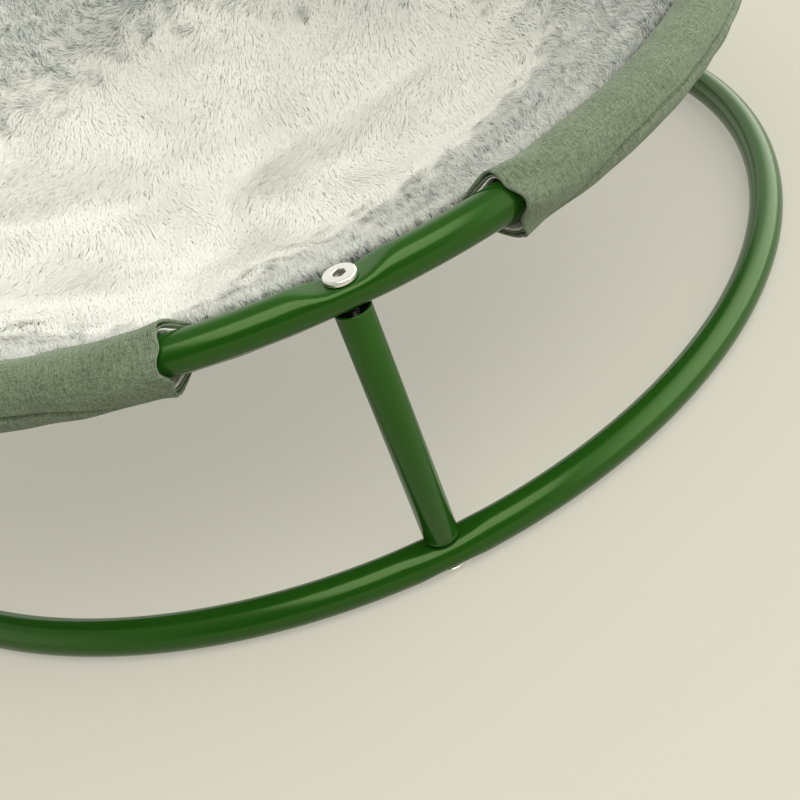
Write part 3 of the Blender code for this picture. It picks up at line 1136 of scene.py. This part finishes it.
@dataclass(frozen=True)
class PlushLining:
    """The padded plush layer: its knitted ground and the pile that stands in it.

    Attributes:
        shape: the sling's surface.
        rise: height of the ground over the surface.
        drop: depth of the lining's back under the surface.
        edge_drop: how far the ground turns down at the rim.
        edge_roll: width of that turn.
        fibre: mean length of a fibre.
        fibre_width: of a fibre at its root.
        fibres: how many fibres each sector has.
        sectors: how many pieces the pile is split into.
        tuft: distance between tufts.
        parting: where round the bed the pile parts furthest from the rim, as an angle.
        band_start: where the parted band starts, as a share of the radius.
        band_near: how much nearer the middle it starts at the parting.
        band_stray: how far its start strays.
        band_fade: over which it sets in.
        edge_start: where the pile at the very edge starts, as a share of the radius.
        edge_fade: over which that sets in.
        nap: the middle's heading.
        nap_turn: how far the band's heading turns from it.
        lean: of the middle's fibres, in degrees from upright.
        lean_less: how much less the band's fibres lean, in degrees.
        reach: how far out the roots stand, as a share of the radius.
        root_drop: depth of the roots under the ground.
        heading_spread: spread of the headings, in the middle and how much more in the band.
        lean_spread: the same for the lean, in degrees.
        length_spread: the same for the lengths, as a share.
        facing_spread: the same for the fibres' flat sides.
        shading_spread: the same for their shading.
        gather: how far a tip is drawn to its tuft's middle, and how much more in the band.
        shading_tip: how far the shading follows the fibre, and how much more in the band.
        under_share: the band's share of grey fibres, and how much more where it parts.
        rings: of the ground's grid.
        spokes: of the ground's grid.
    """

    shape: SlingShape
    rise: float = 3.0 * MM
    drop: float = 5.6 * MM
    edge_drop: float = 1.0 * MM
    edge_roll: float = 16 * MM
    fibre: float = 8.5 * MM
    fibre_width: float = 0.4 * MM
    fibres: int = 45000
    sectors: int = 8
    tuft: float = 5.5 * MM
    parting: float = math.radians(-75)
    band_start: float = 0.62
    band_near: float = 0.24
    band_stray: float = 0.06
    band_fade: float = 0.26
    edge_start: float = 0.955
    edge_fade: float = 0.03
    nap: float = math.radians(250)
    nap_turn: float = math.radians(135)
    lean: float = 75.0
    lean_less: float = 33.0
    reach: float = 1.004
    root_drop: float = 0.3 * MM
    heading_spread: tuple[float, float] = (0.14, 0.36)
    lean_spread: tuple[float, float] = (3.0, 11.0)
    length_spread: tuple[float, float] = (0.07, 0.18)
    facing_spread: tuple[float, float] = (0.07, 0.13)
    shading_spread: tuple[float, float] = (0.04, 0.08)
    gather: tuple[float, float] = (0.05, 0.6)
    shading_tip: tuple[float, float] = (0.12, 0.2)
    under_share: tuple[float, float] = (0.02, 0.42)
    rings: int = 64
    spokes: int = 224

    def ground(self, x: np.ndarray, y: np.ndarray) -> np.ndarray:
        """Return the ground's height: the surface, raised, and turned down at the rim.

        Args:
            x: first coordinate of the plan.
            y: second coordinate of the plan.
        """
        inward = self.shape.radius - np.hypot(x, y)
        turn = np.clip(1 - inward / self.edge_roll, 0, 1) ** 2
        return self.shape.height(x, y) + self.rise - self.edge_drop * turn

    def build_ground(self, knit: bpy.types.Material) -> bpy.types.Object:
        """Return the lining's closed, padded body."""
        angle = full_turn(self.spokes)[None, :]
        share = np.sin(np.linspace(0, 1, self.rings) * TURN / 4)[:, None]
        x = share * self.shape.radius * np.cos(angle)
        y = share * self.shape.radius * np.sin(angle)
        top = np.stack([x, y, self.ground(x, y)], -1)
        back = np.stack([x, y, self.shape.height(x, y) - self.drop], -1)[::-1]
        points = np.concatenate([top, back])
        mesh = patch_mesh("lining", [Patch(points, None, False, True, True)], weld=True)
        piece = place_piece("plush_lining_ground", mesh, knit, ("plush_lining",))
        return piece

    def tuft_pull(self, x: np.ndarray, y: np.ndarray) -> np.ndarray:
        """Return the plan vector from each point to the middle of its tuft.

        Tufts are cells of a square grid whose middles are moved at random. The nearest of the
        nine middles round a point is its tuft.
        """
        cell_x, cell_y = np.floor(x / self.tuft), np.floor(y / self.tuft)
        best = np.full(x.shape, np.inf)
        pull = np.zeros((*x.shape, 2))
        for across in (-1, 0, 1):
            for up in (-1, 0, 1):
                column, row = cell_x + across, cell_y + up
                first = np.sin(column * 127.1 + row * 311.7) * 43758.5453
                second = np.sin(column * 269.5 + row * 183.3) * 24634.6345
                middle_x = (column + first - np.floor(first)) * self.tuft
                middle_y = (row + second - np.floor(second)) * self.tuft
                far = (middle_x - x) ** 2 + (middle_y - y) ** 2
                nearer = far < best
                best = np.where(nearer, far, best)
                pull[nearer] = np.stack([middle_x - x, middle_y - y], -1)[nearer]
        return pull

    def build_pile(self, sector: int, pile: bpy.types.Material) -> bpy.types.Object:
        """Return one sector of the pile.

        Each fibre is a flat strip that ends in a point. Its root is placed at random, evenly
        over the plan. It leans along the nap, bends over towards its tip, and its tip is drawn
        to its tuft's middle. Its flat side and its shading face up from the lining.

        Args:
            sector: the sector's number.
            pile: the pile's material.
        """
        random = np.random.default_rng(1000 + sector)
        count = self.fibres
        share = np.sqrt(random.random(count)) * self.reach
        angle = (sector + random.random(count)) / self.sectors * TURN
        x = share * self.shape.radius * np.cos(angle)
        y = share * self.shape.radius * np.sin(angle)
        root = np.stack([x, y, self.ground(x, y) - self.root_drop], -1)
        normal = self.shape.normal(x, y)
        outward = np.stack([np.cos(angle), np.sin(angle), np.zeros(count)], -1)
        near = np.clip(np.cos(angle - self.parting), 0, 1) ** 6
        stray = self.band_stray * plane_waves(x, y, 20 * MM, seed=8)
        band = self.band_start - self.band_near * near + stray
        rim = smooth_step((share - band) / self.band_fade)[:, None]
        parted = 0.4 * plane_waves(x, y, 26 * MM, seed=9) + plane_waves(x, y, 5 * MM, seed=10)
        parted = np.clip(0.5 + parted, 0, 1)
        edge = smooth_step((share - self.edge_start) / self.edge_fade)[:, None]
        inner = (rim * (1 - edge))[:, 0]
        swirl = 0.7 * plane_waves(x, y, 110 * MM, seed=5)
        swirl = swirl + 0.15 * plane_waves(x, y, 30 * MM, seed=6)
        swirl = swirl + inner * plane_waves(x, y, 9 * MM, seed=7)
        heading = self.nap - self.nap_turn * inner + swirl
        heading = heading + random.normal(0, 1, count) * grown(self.heading_spread, rim[:, 0])
        nap = np.stack([np.cos(heading), np.sin(heading), np.zeros(count)], -1)
        nap = nap * (1 - 0.6 * edge) + outward * 0.6 * edge
        nap -= normal * (nap * normal).sum(-1, keepdims=True)
        nap /= np.linalg.norm(nap, axis=-1, keepdims=True)
        lean = self.lean - self.lean_less * rim
        lean = np.radians(lean + random.normal(0, 1, (count, 1)) * grown(self.lean_spread, rim))
        under = random.random((count, 1)) < rim * grown(self.under_share, parted[:, None])
        spread = grown(self.length_spread, rim)
        length = self.fibre * (1 + spread * random.uniform(-1, 1, (count, 1)))
        pull = self.tuft_pull(x, y) * grown(self.gather, rim)
        drawn = np.concatenate([pull, np.zeros((count, 1))], -1)
        middle = root + length * 0.5 * (normal * np.cos(lean * 0.6) + nap * np.sin(lean * 0.6))
        middle += drawn * 0.35
        tip = root + length * (normal * np.cos(lean) * 0.9 + nap * np.sin(lean)) + drawn
        facing = normal + random.normal(0, 1, (count, 3)) * grown(self.facing_spread, rim)
        across = np.cross(tip - root, facing)
        across /= np.linalg.norm(across, axis=-1, keepdims=True)
        width = self.fibre_width * (1 + 0.1 * rim) * random.uniform(0.7, 1.2, (count, 1))
        half = 0.5 * width * across
        points = np.stack(
            [root - half, root + half, middle + half * 0.9, middle - half * 0.9, tip], 1
        ).reshape(-1, 3)
        start = np.arange(count)[:, None] * 5
        corners = (start + np.array([[0, 1, 2, 3, 3, 2, 4]])).ravel()
        starts = (np.arange(count)[:, None] * 7 + np.array([[0, 4]])).ravel()
        misty = 0.25 * np.clip(plane_waves(x, y, 48 * MM, seed=12) - 0.2, 0, 1)
        outer = smooth_step((share - 0.4) / 0.4)
        grey = 0.02 + misty + 0.2 * outer + 0.12 * rim[:, 0] + 0.7 * under[:, 0]
        tone = np.clip(grey * random.uniform(0.6, 1.4, count), 0, 1)
        half_way = np.where(under, 0.1, 0.7 - 0.2 * rim + 0.2 * edge)
        up = np.array([[0.0, 0.0, 1.0, 1.0, 1.0, 1.0, 0.0]]) * half_way
        up[:, -1:] = np.where(under, 0.55, 1.0)
        texture = np.stack(np.broadcast_arrays(tone[:, None], up), -1).reshape(-1, 2)
        mesh = fill_mesh("pile", points, corners, starts, texture)
        shading = normal + grown(self.shading_tip, rim) * (tip - root) / length
        shading += random.normal(0, 1, (count, 3)) * grown(self.shading_spread, rim)
        shading /= np.linalg.norm(shading, axis=-1, keepdims=True)
        mesh.normals_split_custom_set_from_vertices(np.repeat(shading, 5, 0))
        return place_piece(f"plush_pile_{sector + 1}", mesh, pile, ())


@dataclass(frozen=True)
class SlingUnderside:
    """The linen sheet under the lining, with its hem rolled round the lining's edge.

    Attributes:
        shape: the sling's surface.
        gap: distance of the cloth under the sling's surface.
        belly: how far the padded edge hangs lower just inside the rim.
        belly_more: how much lower it hangs under the sleeves.
        belly_turn: how far round that is from half way between the posts, times three.
        belly_in: how far inside the edge it hangs lowest.
        belly_width: over which it fades.
        cloth: thickness of the cloth.
        cut: diameter of the round that the sheet was cut from.
        wrinkle: height of its wrinkles.
        edge_out: how far its turned-up edge reaches past the sling's edge.
        edge_under: how far the turned-up edge ends under the sling's surface, past the gap.
        rings: of its grid.
        spokes: of its grid.
    """

    shape: SlingShape
    gap: float = 7.2 * MM
    belly: float = 4.5 * MM
    belly_more: float = 4.5 * MM
    belly_turn: float = 0.6
    belly_in: float = 3 * MM
    belly_width: float = 22 * MM
    cloth: float = 0.6 * MM
    cut: float = 0.54
    wrinkle: float = 0.4 * MM
    edge_out: float = 2.5 * MM
    edge_under: float = 1 * MM
    rings: int = 60
    spokes: int = 240

    def build(self, linen: bpy.types.Material) -> bpy.types.Object:
        """Return the underside, a hanging sheet.

        Its rings follow the surface out to the belly, then turn up in a quarter round to the
        lining's edge.
        """
        angle = full_turn(self.spokes)[None, :]
        flat_rim = self.shape.radius - self.belly_in
        run = np.linspace(0, 1, self.rings)[:, None]
        out = flat_rim * run
        x, y = out * np.cos(angle), out * np.sin(angle)
        inward = flat_rim - out
        ease = 1 - smooth_step(inward / self.belly_width)
        wrinkle = self.wrinkle * plane_waves(x, y, 34 * MM, seed=31)
        third = len(Corner) * (angle - Corner.FRONT.angle) - self.belly_turn
        belly = self.belly + self.belly_more * (0.5 - 0.5 * np.cos(third))
        low = self.shape.height(x, y) - self.gap - belly * ease + wrinkle
        sheet = np.stack([x, y, low], -1)
        lift = np.radians(np.linspace(0, 90, 8))[1:, None]
        reach, climb = self.belly_in + self.edge_out, self.belly - self.edge_under
        edge_out = flat_rim + reach * np.sin(lift)
        edge_x, edge_y = edge_out * np.cos(angle), edge_out * np.sin(angle)
        edge_z = low[-1:] + (climb + belly - self.belly) * (1 - np.cos(lift))
        edge = np.stack([edge_x, edge_y, edge_z], -1)
        points = np.concatenate([sheet, edge])
        texture = np.concatenate([points[..., :2], points[:, :1, :2]], 1)
        mesh = patch_mesh("underside", [Patch(points, texture, False, True)], weld=True)
        node = "sling_underside"
        piece = place_piece(f"{node}_cloth", mesh, linen, (node,))
        thicken(piece, self.cloth)
        return piece


@dataclass(frozen=True)
class LinenSleeve:
    """A lined sleeve sewn round the upper ring, with its two mouths hemmed inwards.

    Attributes:
        sizes: the model's sizes.
        place: which sleeve it is.
        bare: length of tube that stays bare at each post, on the ring's outer side.
        slant: how much further a mouth reaches on the sling's side.
        slant_run: length over which the slant fades into the sleeve.
        padding: distance from the tube to the sleeve's outside, filled by its lining.
        sag: how much lower the cloth hangs under the tube.
        flare: how much wider a mouth is than the sleeve.
        hem: width of the cloth turned in at a mouth.
        fold: radius of the turn.
        cloth: thickness of the cloth.
        hem_recess: how far the inner hem's edge lies inside the mouth.
        hem_inset: how far the inner hem lies inside the turned one.
        lining_recess: how far the lining's edge lies inside the mouth.
        lining_inset: how far the lining lies inside the turned hem.
        seam: depth of the crease at the lower seam.
        flap: how far the cloth under the seam stands out.
        mouth_run: length over which a mouth's shape fades into the sleeve.
        seam_turn: how far under the tube's side the seam runs, in degrees.
        seam_climb: how much further under it starts at a mouth, in degrees.
        seam_run: length over which the seam climbs from there.
        seam_sway: how far the seam strays up and down, in degrees.
        seam_width: angle round the tube that the crease takes.
        ridge: height of the ridge over the seam.
        pucker: height of the four folds round a mouth.
        bulge: angle round the tube at which one of them stands out.
        wander: how far a mouth's edge strays along the tube.
        sides: steps round the tube.
        stations: rows along the outside.
    """

    sizes: FrameSizes
    place: SleevePlace
    bare: float = 136 * MM
    slant: float = 11 * MM
    slant_run: float = 60 * MM
    padding: float = 3.9 * MM
    sag: float = 1.9 * MM
    flare: float = 1.0 * MM
    hem: float = 11 * MM
    fold: float = 0.6 * MM
    cloth: float = 0.5 * MM
    hem_recess: float = 0.6 * MM
    hem_inset: float = 0.7 * MM
    lining_recess: float = 1.6 * MM
    lining_inset: float = 1.6 * MM
    seam: float = 1.5 * MM
    flap: float = 0.8 * MM
    mouth_run: float = 14 * MM
    seam_turn: float = 9.0
    seam_climb: float = 66.0
    seam_run: float = 34 * MM
    seam_sway: float = 3.0
    seam_width: float = math.radians(4.5)
    ridge: float = 0.35 * MM
    pucker: float = 1.4 * MM
    bulge: float = math.radians(12)
    wander: float = 1.1 * MM
    sides: int = 150
    stations: int = 170

    @property
    def length(self) -> float:
        """Return the sleeve's length along the tube's centre, on its outer side."""
        start, end = self.ends()
        return (end - start) * self.sizes.ring_radius

    def ends(self) -> tuple[float, float]:
        """Return the angles round the bed at which the sleeve's mouths lie."""
        half = self.bare / 2 / self.sizes.ring_radius
        start = self.place.value.angle
        return start + half, start + TURN / len(Corner) - half

    def section_grid(self) -> np.ndarray:
        """Return the angles round the tube, as one row."""
        return full_turn(self.sides)[None, :]

    def radius(self, along: np.ndarray, section: np.ndarray) -> np.ndarray:
        """Return the cloth's distance from the tube's centre.

        It is the tube's radius and the padding, let down under the tube by the sag, widened
        towards the mouths by the flare, drawn in along the lower seam, let out in a flap under
        it, and wrinkled by soft waves.

        Args:
            along: distance from the first mouth.
            section: angle round the tube.
        """
        mouth = np.maximum(np.minimum(along, self.length - along), 0)
        near = np.exp(-((mouth / self.mouth_run) ** 1.5))
        turn = (section + TURN / 4 + math.pi) % TURN - math.pi
        down = np.exp(-((turn / math.radians(60)) ** 2))
        climb = self.seam_climb * np.exp(-((mouth / self.seam_run) ** 2))
        line = -np.radians(self.seam_turn + climb - self.seam_sway * np.sin(along / (19 * MM)))
        off = (section - line + math.pi) % TURN - math.pi
        crease = np.exp(-((off / self.seam_width) ** 2)) * (1 - 0.8 * near)
        under = smooth_step(-off / math.radians(16)) * smooth_step((off + math.radians(85)) / 0.7)
        run = section * self.sizes.tube_radius
        wrinkle = 0.2 * MM * plane_waves(along, run, 26 * MM, seed=41)
        wrinkle = wrinkle + 0.1 * MM * plane_waves(along * 0.45, run, 7 * MM, seed=42)
        pucker = self.pucker * near * np.cos(4 * (section - self.bulge) + mouth / (12 * MM))
        base = self.sizes.tube_radius + self.padding + self.sag * down
        flare = self.flare * near * down
        ridge = self.ridge * np.exp(-(((off - math.radians(7)) / math.radians(5)) ** 2))
        flap = self.flap * under * (1 - near)
        return base + flare + ridge - self.seam * crease + flap + wrinkle + pucker

    def lip(self, section: np.ndarray, end: int) -> np.ndarray:
        """Return how far a mouth's edge strays into the sleeve: a sum of two waves.

        The second follows the folds, so that the edge draws back where the cloth stands out.

        Args:
            section: angle round the tube.
            end: 0 at the first mouth and 1 at the last.
        """
        turn = self.place.value.angle + end * 2.1
        return self.wander * (0.5 * np.sin(2 * section + turn) + np.cos(4 * (section - self.bulge)))

    def cloth_points(
        self, along: np.ndarray, section: np.ndarray, inset: np.ndarray | float
    ) -> np.ndarray:
        """Return points of the cloth, or of a layer inside it.

        The slant grows round the tube as a power of half of one less the cosine of the section
        angle, and it fades into the sleeve.

        Args:
            along: distance from the first mouth.
            section: angle round the tube.
            inset: how far inside the outer cloth the points lie.
        """
        start = self.ends()[0]
        at = np.maximum(self.radius(along, section) - inset, self.sizes.tube_radius + 0.4 * MM)
        slant = self.slant * (0.5 - 0.5 * np.cos(section)) ** 1.9
        shift = 0.0
        for end, inward, sign in ((0, along, 1), (1, self.length - along, -1)):
            depth = np.maximum(inward, 0)
            reach = slant * (1 - smooth_step(depth / self.slant_run))
            stray = self.lip(section, end) * np.exp(-depth / (8 * MM))
            shift = shift + sign * (stray - reach)
        angle = start + (along + shift) / self.sizes.ring_radius
        out = self.sizes.ring_radius + at * np.cos(section)
        return around(angle, out, self.sizes.upper_centre + at * np.sin(section))

    def cloth_map(self, run: np.ndarray) -> np.ndarray:
        """Return a layer's map in metres, from its distance along the cloth at each row."""
        girth = np.linspace(0, TURN, self.sides + 1) * (self.sizes.tube_radius + self.padding)
        return np.stack(np.broadcast_arrays(run[:, None], girth[None, :]), -1)

    def build(self, linen: bpy.types.Material, fleece: bpy.types.Material) -> bpy.types.Object:
        """Return the sleeve, a folded sheet.

        Its rows run in along the turned hem, round the fold, along the outside, and round the
        other fold, so that each mouth shows a folded edge.

        Args:
            linen: the outer cloth's finish.
            fleece: the lining's finish.
        """
        turn = np.radians(np.linspace(-90, 90, 9))
        hem = np.linspace(self.hem, self.fold, 10)
        outside = np.linspace(self.fold, self.length - self.fold, self.stations)
        edge_along = self.fold * (1 - np.cos(turn))
        edge_inset = self.fold * (1 - np.sin(turn))
        deep = np.full(10, 2 * self.fold)
        far = self.length - np.concatenate([edge_along[::-1], hem[::-1]])
        along = np.concatenate([hem, edge_along, outside, far])
        inset = np.concatenate([deep, edge_inset, np.zeros(self.stations), edge_inset[::-1], deep])
        points = self.cloth_points(along[:, None], self.section_grid(), inset[:, None])
        run = np.concatenate([[0], np.cumsum(np.hypot(np.diff(along), np.diff(inset)))])
        mesh = patch_mesh("sleeve", [Patch(points, self.cloth_map(run), False, True, True)])
        node = f"sleeve_{self.place.tag}"
        piece = place_piece(f"{node}_cloth", mesh, linen, (node,))
        thicken(piece, self.cloth)
        kinds = (
            ("inner_hem", self.hem_recess, self.hem_inset, linen, "sage_linen"),
            ("lining", self.lining_recess, self.lining_inset, fleece, "cream_plush"),
        )
        layers = [
            self.build_layer(f"{node}_{kind}_{word}", end, *settings)
            for end, word in enumerate(("near", "far"))
            for kind, *settings in kinds
        ]
        self.length + 2 * self.hem
        return piece

    def build_layer(
        self,
        name: str,
        end: int,
        recess: float,
        inset: float,
        material: bpy.types.Material,
        slot: str,
    ) -> bpy.types.Object:
        """Return a narrow inner layer that shows inside one mouth.

        Args:
            name: the layer's name.
            end: 0 at the first mouth and 1 at the last.
            recess: how far its edge lies inside the mouth.
            inset: how far it lies inside the turned hem.
            material: its finish.
            slot: not used.
        """
        section = self.section_grid()
        depth = np.linspace(0, 12 * MM, 9)
        edge = recess + 0.45 * recess * np.sin(2 * section + 1.3 * end + recess / MM)
        inward = edge + depth[:, None]
        along = self.length - inward if end else inward
        ripple = 0.3 * MM * np.sin(4 * section + end) * np.exp(-depth[:, None] / (4 * MM))
        points = self.cloth_points(along, section, 2 * self.fold + inset + ripple)
        patch = Patch(points, self.cloth_map(depth), False, True, end == 0)
        piece = place_piece(name, patch_mesh("layer", [patch]), material, ())
        thicken(piece, self.cloth)
        return piece


@dataclass(frozen=True)
class Lamp:
    """A soft square lamp that faces a point over the bed.

    Attributes:
        name: the lamp's name.
        azimuth: degrees round the bed, 0 at -Y and 90 at +X.
        elevation: degrees over the floor.
        distance: from the point that it faces.
        size: its side.
        power: in watts.
        colour: of its light.
    """

    name: str
    azimuth: float
    elevation: float
    distance: float
    size: float
    power: float
    colour: str

    def build(self, target: Vector) -> bpy.types.Object:
        """Return the lamp, in the scene."""
        data = bpy.data.lights.new(self.name, "AREA")
        data.shape = "SQUARE"
        data.size = self.size
        data.energy = self.power
        data.color = hex_colour(self.colour)[:3]
        lamp = add_object(self.name, data)
        turn, rise = math.radians(self.azimuth), math.radians(self.elevation)
        flat = math.cos(rise)
        back = Vector((math.sin(turn) * flat, -math.cos(turn) * flat, math.sin(rise)))
        lamp.location = target + back * self.distance
        lamp.rotation_euler = (-back).to_track_quat("-Z", "Y").to_euler()
        return lamp


@dataclass(frozen=True)
class Studio:
    """The floor, lamp, surroundings and camera.

    The camera stands low in front of the bed and looks down at its front post, rolled so that
    the rings run up to the right, as the photograph shows them.
    """

    camera_place: tuple[float, float, float] = (-0.05102, -0.70705, 0.41151)
    camera_azimuth: float = 6.961
    camera_elevation: float = 35.738
    camera_roll: float = 21.095
    lens: float = 67.5
    sensor: float = 36.0
    floor_half: float = 40.0
    sky: str = "#f6f5ee"
    sky_front: float = 0.1
    sky_back: float = 0.55
    sky_low: float = 0.65
    screen_right: float = 3.0
    screen_left: float = 0.55
    lamp: Lamp = Lamp("key_softbox", 5.0, 58.0, 2.2, 1.8, 35.0, "#fffdf6")
    lamp_target: tuple[float, float, float] = (0.0, -0.1, 0.1)

    def build_camera(self) -> bpy.types.Object:
        """Return the camera, set as the scene's own."""
        turn, dip = math.radians(self.camera_azimuth), math.radians(self.camera_elevation)
        roll = math.radians(self.camera_roll)
        flat = math.cos(dip)
        ahead = Vector((math.sin(turn) * flat, math.cos(turn) * flat, -math.sin(dip)))
        level = Vector((math.cos(turn), -math.sin(turn), 0.0))
        upright = level.cross(ahead)
        right = math.cos(roll) * level - math.sin(roll) * upright
        up = math.sin(roll) * level + math.cos(roll) * upright
        data = bpy.data.cameras.new("camera")
        data.lens = self.lens
        data.sensor_width = self.sensor
        camera = add_object("camera", data)
        axes = Matrix((right, up, -ahead)).transposed().to_4x4()
        camera.matrix_world = Matrix.Translation(self.camera_place) @ axes
        bpy.context.scene.camera = camera
        return camera

    def build_floor(self, board: bpy.types.Material) -> bpy.types.Object:
        """Return the floor, a flat grid at z = 0."""
        side = np.linspace(-self.floor_half, self.floor_half, 9)
        x, y = np.meshgrid(side, side)
        points = np.stack([x, y, np.zeros_like(x)], -1)
        mesh = patch_mesh("floor", [Patch(points)])
        mesh.materials.append(board)
        floor = add_object("floor", mesh)
        return floor

    def build_world(self) -> None:
        """Give the scene a dim room, pale low at its back, with a bright screen on each side."""
        world = bpy.data.worlds.new("pale_room")
        world.use_nodes = True
        tree = world.node_tree
        toward = add_node(tree, "ShaderNodeTexCoord").outputs["Generated"]
        split = add_node(tree, "ShaderNodeSeparateXYZ", {"Vector": toward})
        total = 0.0
        for axis, start, end, low, high in (
            ("Y", -0.75, 0.0, self.sky_front, self.sky_back),
            ("Y", 0.55, 0.82, 0.0, self.sky_low),
            ("X", 0.35, 0.85, 0.0, self.screen_right),
            ("X", -0.6, -0.95, 0.0, self.screen_left),
        ):
            ranges = {"From Min": start, "From Max": end, "To Min": low, "To Max": high}
            inputs = {"Value": split.outputs[axis], **ranges}
            part = add_node(tree, "ShaderNodeMapRange", inputs, interpolation_type="SMOOTHSTEP")
            terms = {0: total, 1: part.outputs["Result"]}
            total = add_node(tree, "ShaderNodeMath", terms, operation="ADD").outputs[0]
        background = {"Color": hex_colour(self.sky), "Strength": total}
        fill_inputs(tree, tree.nodes["Background"], background)
        bpy.context.scene.world = world

    def build(self) -> None:
        """Set up the whole studio."""
        self.build_camera()
        self.build_floor(StudioFloor().make())
        self.build_world()
        self.lamp.build(Vector(self.lamp_target))


def clear_scene() -> None:
    """Remove whatever a new file starts with."""
    for existing in list(bpy.data.objects):
        bpy.data.objects.remove(existing, do_unlink=True)


def build_frame(sizes: FrameSizes) -> None:
    """Build the rings, posts, inserts and bolts.

    Args:
        sizes: the model's sizes.
    """
    enamel, zinc = PowderEnamel().make(), ZincPlate().make()
    # The inserts get a dark zinc as painted shade, for the shade inside the posts' mouths.
    shade_dark_zinc = ZincPlate("shade_dark_zinc_plate", "#43443f", "#2c2d2a", 0.44, 0.58).make()
    lower = PressedTube(sizes, sizes.lower_centre, side=-1, press=3.2 * MM)
    mesh = lower.closed_ring()
    report(place_piece("lower_ring_tube", mesh, enamel, ("lower_ring",)))
    upper = PressedTube(sizes, sizes.upper_centre, side=1, press=3.6 * MM)
    half = TURN / len(Corner) / 2
    for corner in Corner:
        mesh = upper.arc(corner.angle - half, corner.angle + half - 0.002, 20 * MM, 6.5 * MM)
        name, node = f"upper_ring_{corner.tag}", f"upper_arc_{corner.tag}"
        report(place_piece(name, mesh, enamel, (node,)))
        report(TubePost(sizes, corner).build(enamel))
        for top in (True, False):
            report(ThreadedInsert(sizes, corner, top).build(shade_dark_zinc))
            report(HexSocketBolt(sizes, corner, top).build(zinc))


def build_sling(sizes: FrameSizes) -> None:
    """Build the sleeves, the underside and the plush lining.

    Args:
        sizes: the model's sizes.
    """
    linen = HeatheredLinen().make()
    shape = SlingShape(sizes.sling_radius, sizes.upper_centre)
    ground_finish = PlushGround().make()
    for place in SleevePlace:
        report(LinenSleeve(sizes, place).build(linen, ground_finish))
    report(SlingUnderside(shape).build(linen))
    lining = PlushLining(shape)
    ground = lining.build_ground(ground_finish)
    report(ground)
    pile = PlushPile().make()
    for sector in range(lining.sectors):
        piece = lining.build_pile(sector, pile)
        piece.parent = ground
        report(piece)


def main() -> None:
    """Build the studio and every piece of the bed, in order."""
    logging.basicConfig(level=logging.INFO, format="%(message)s")
    clear_scene()
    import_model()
    sizes = FrameSizes.read()
    Studio().build()
    build_frame(sizes)
    build_sling(sizes)
    bpy.context.scene.view_settings.view_transform = "Standard"


if __name__ == "__main__":
    main()
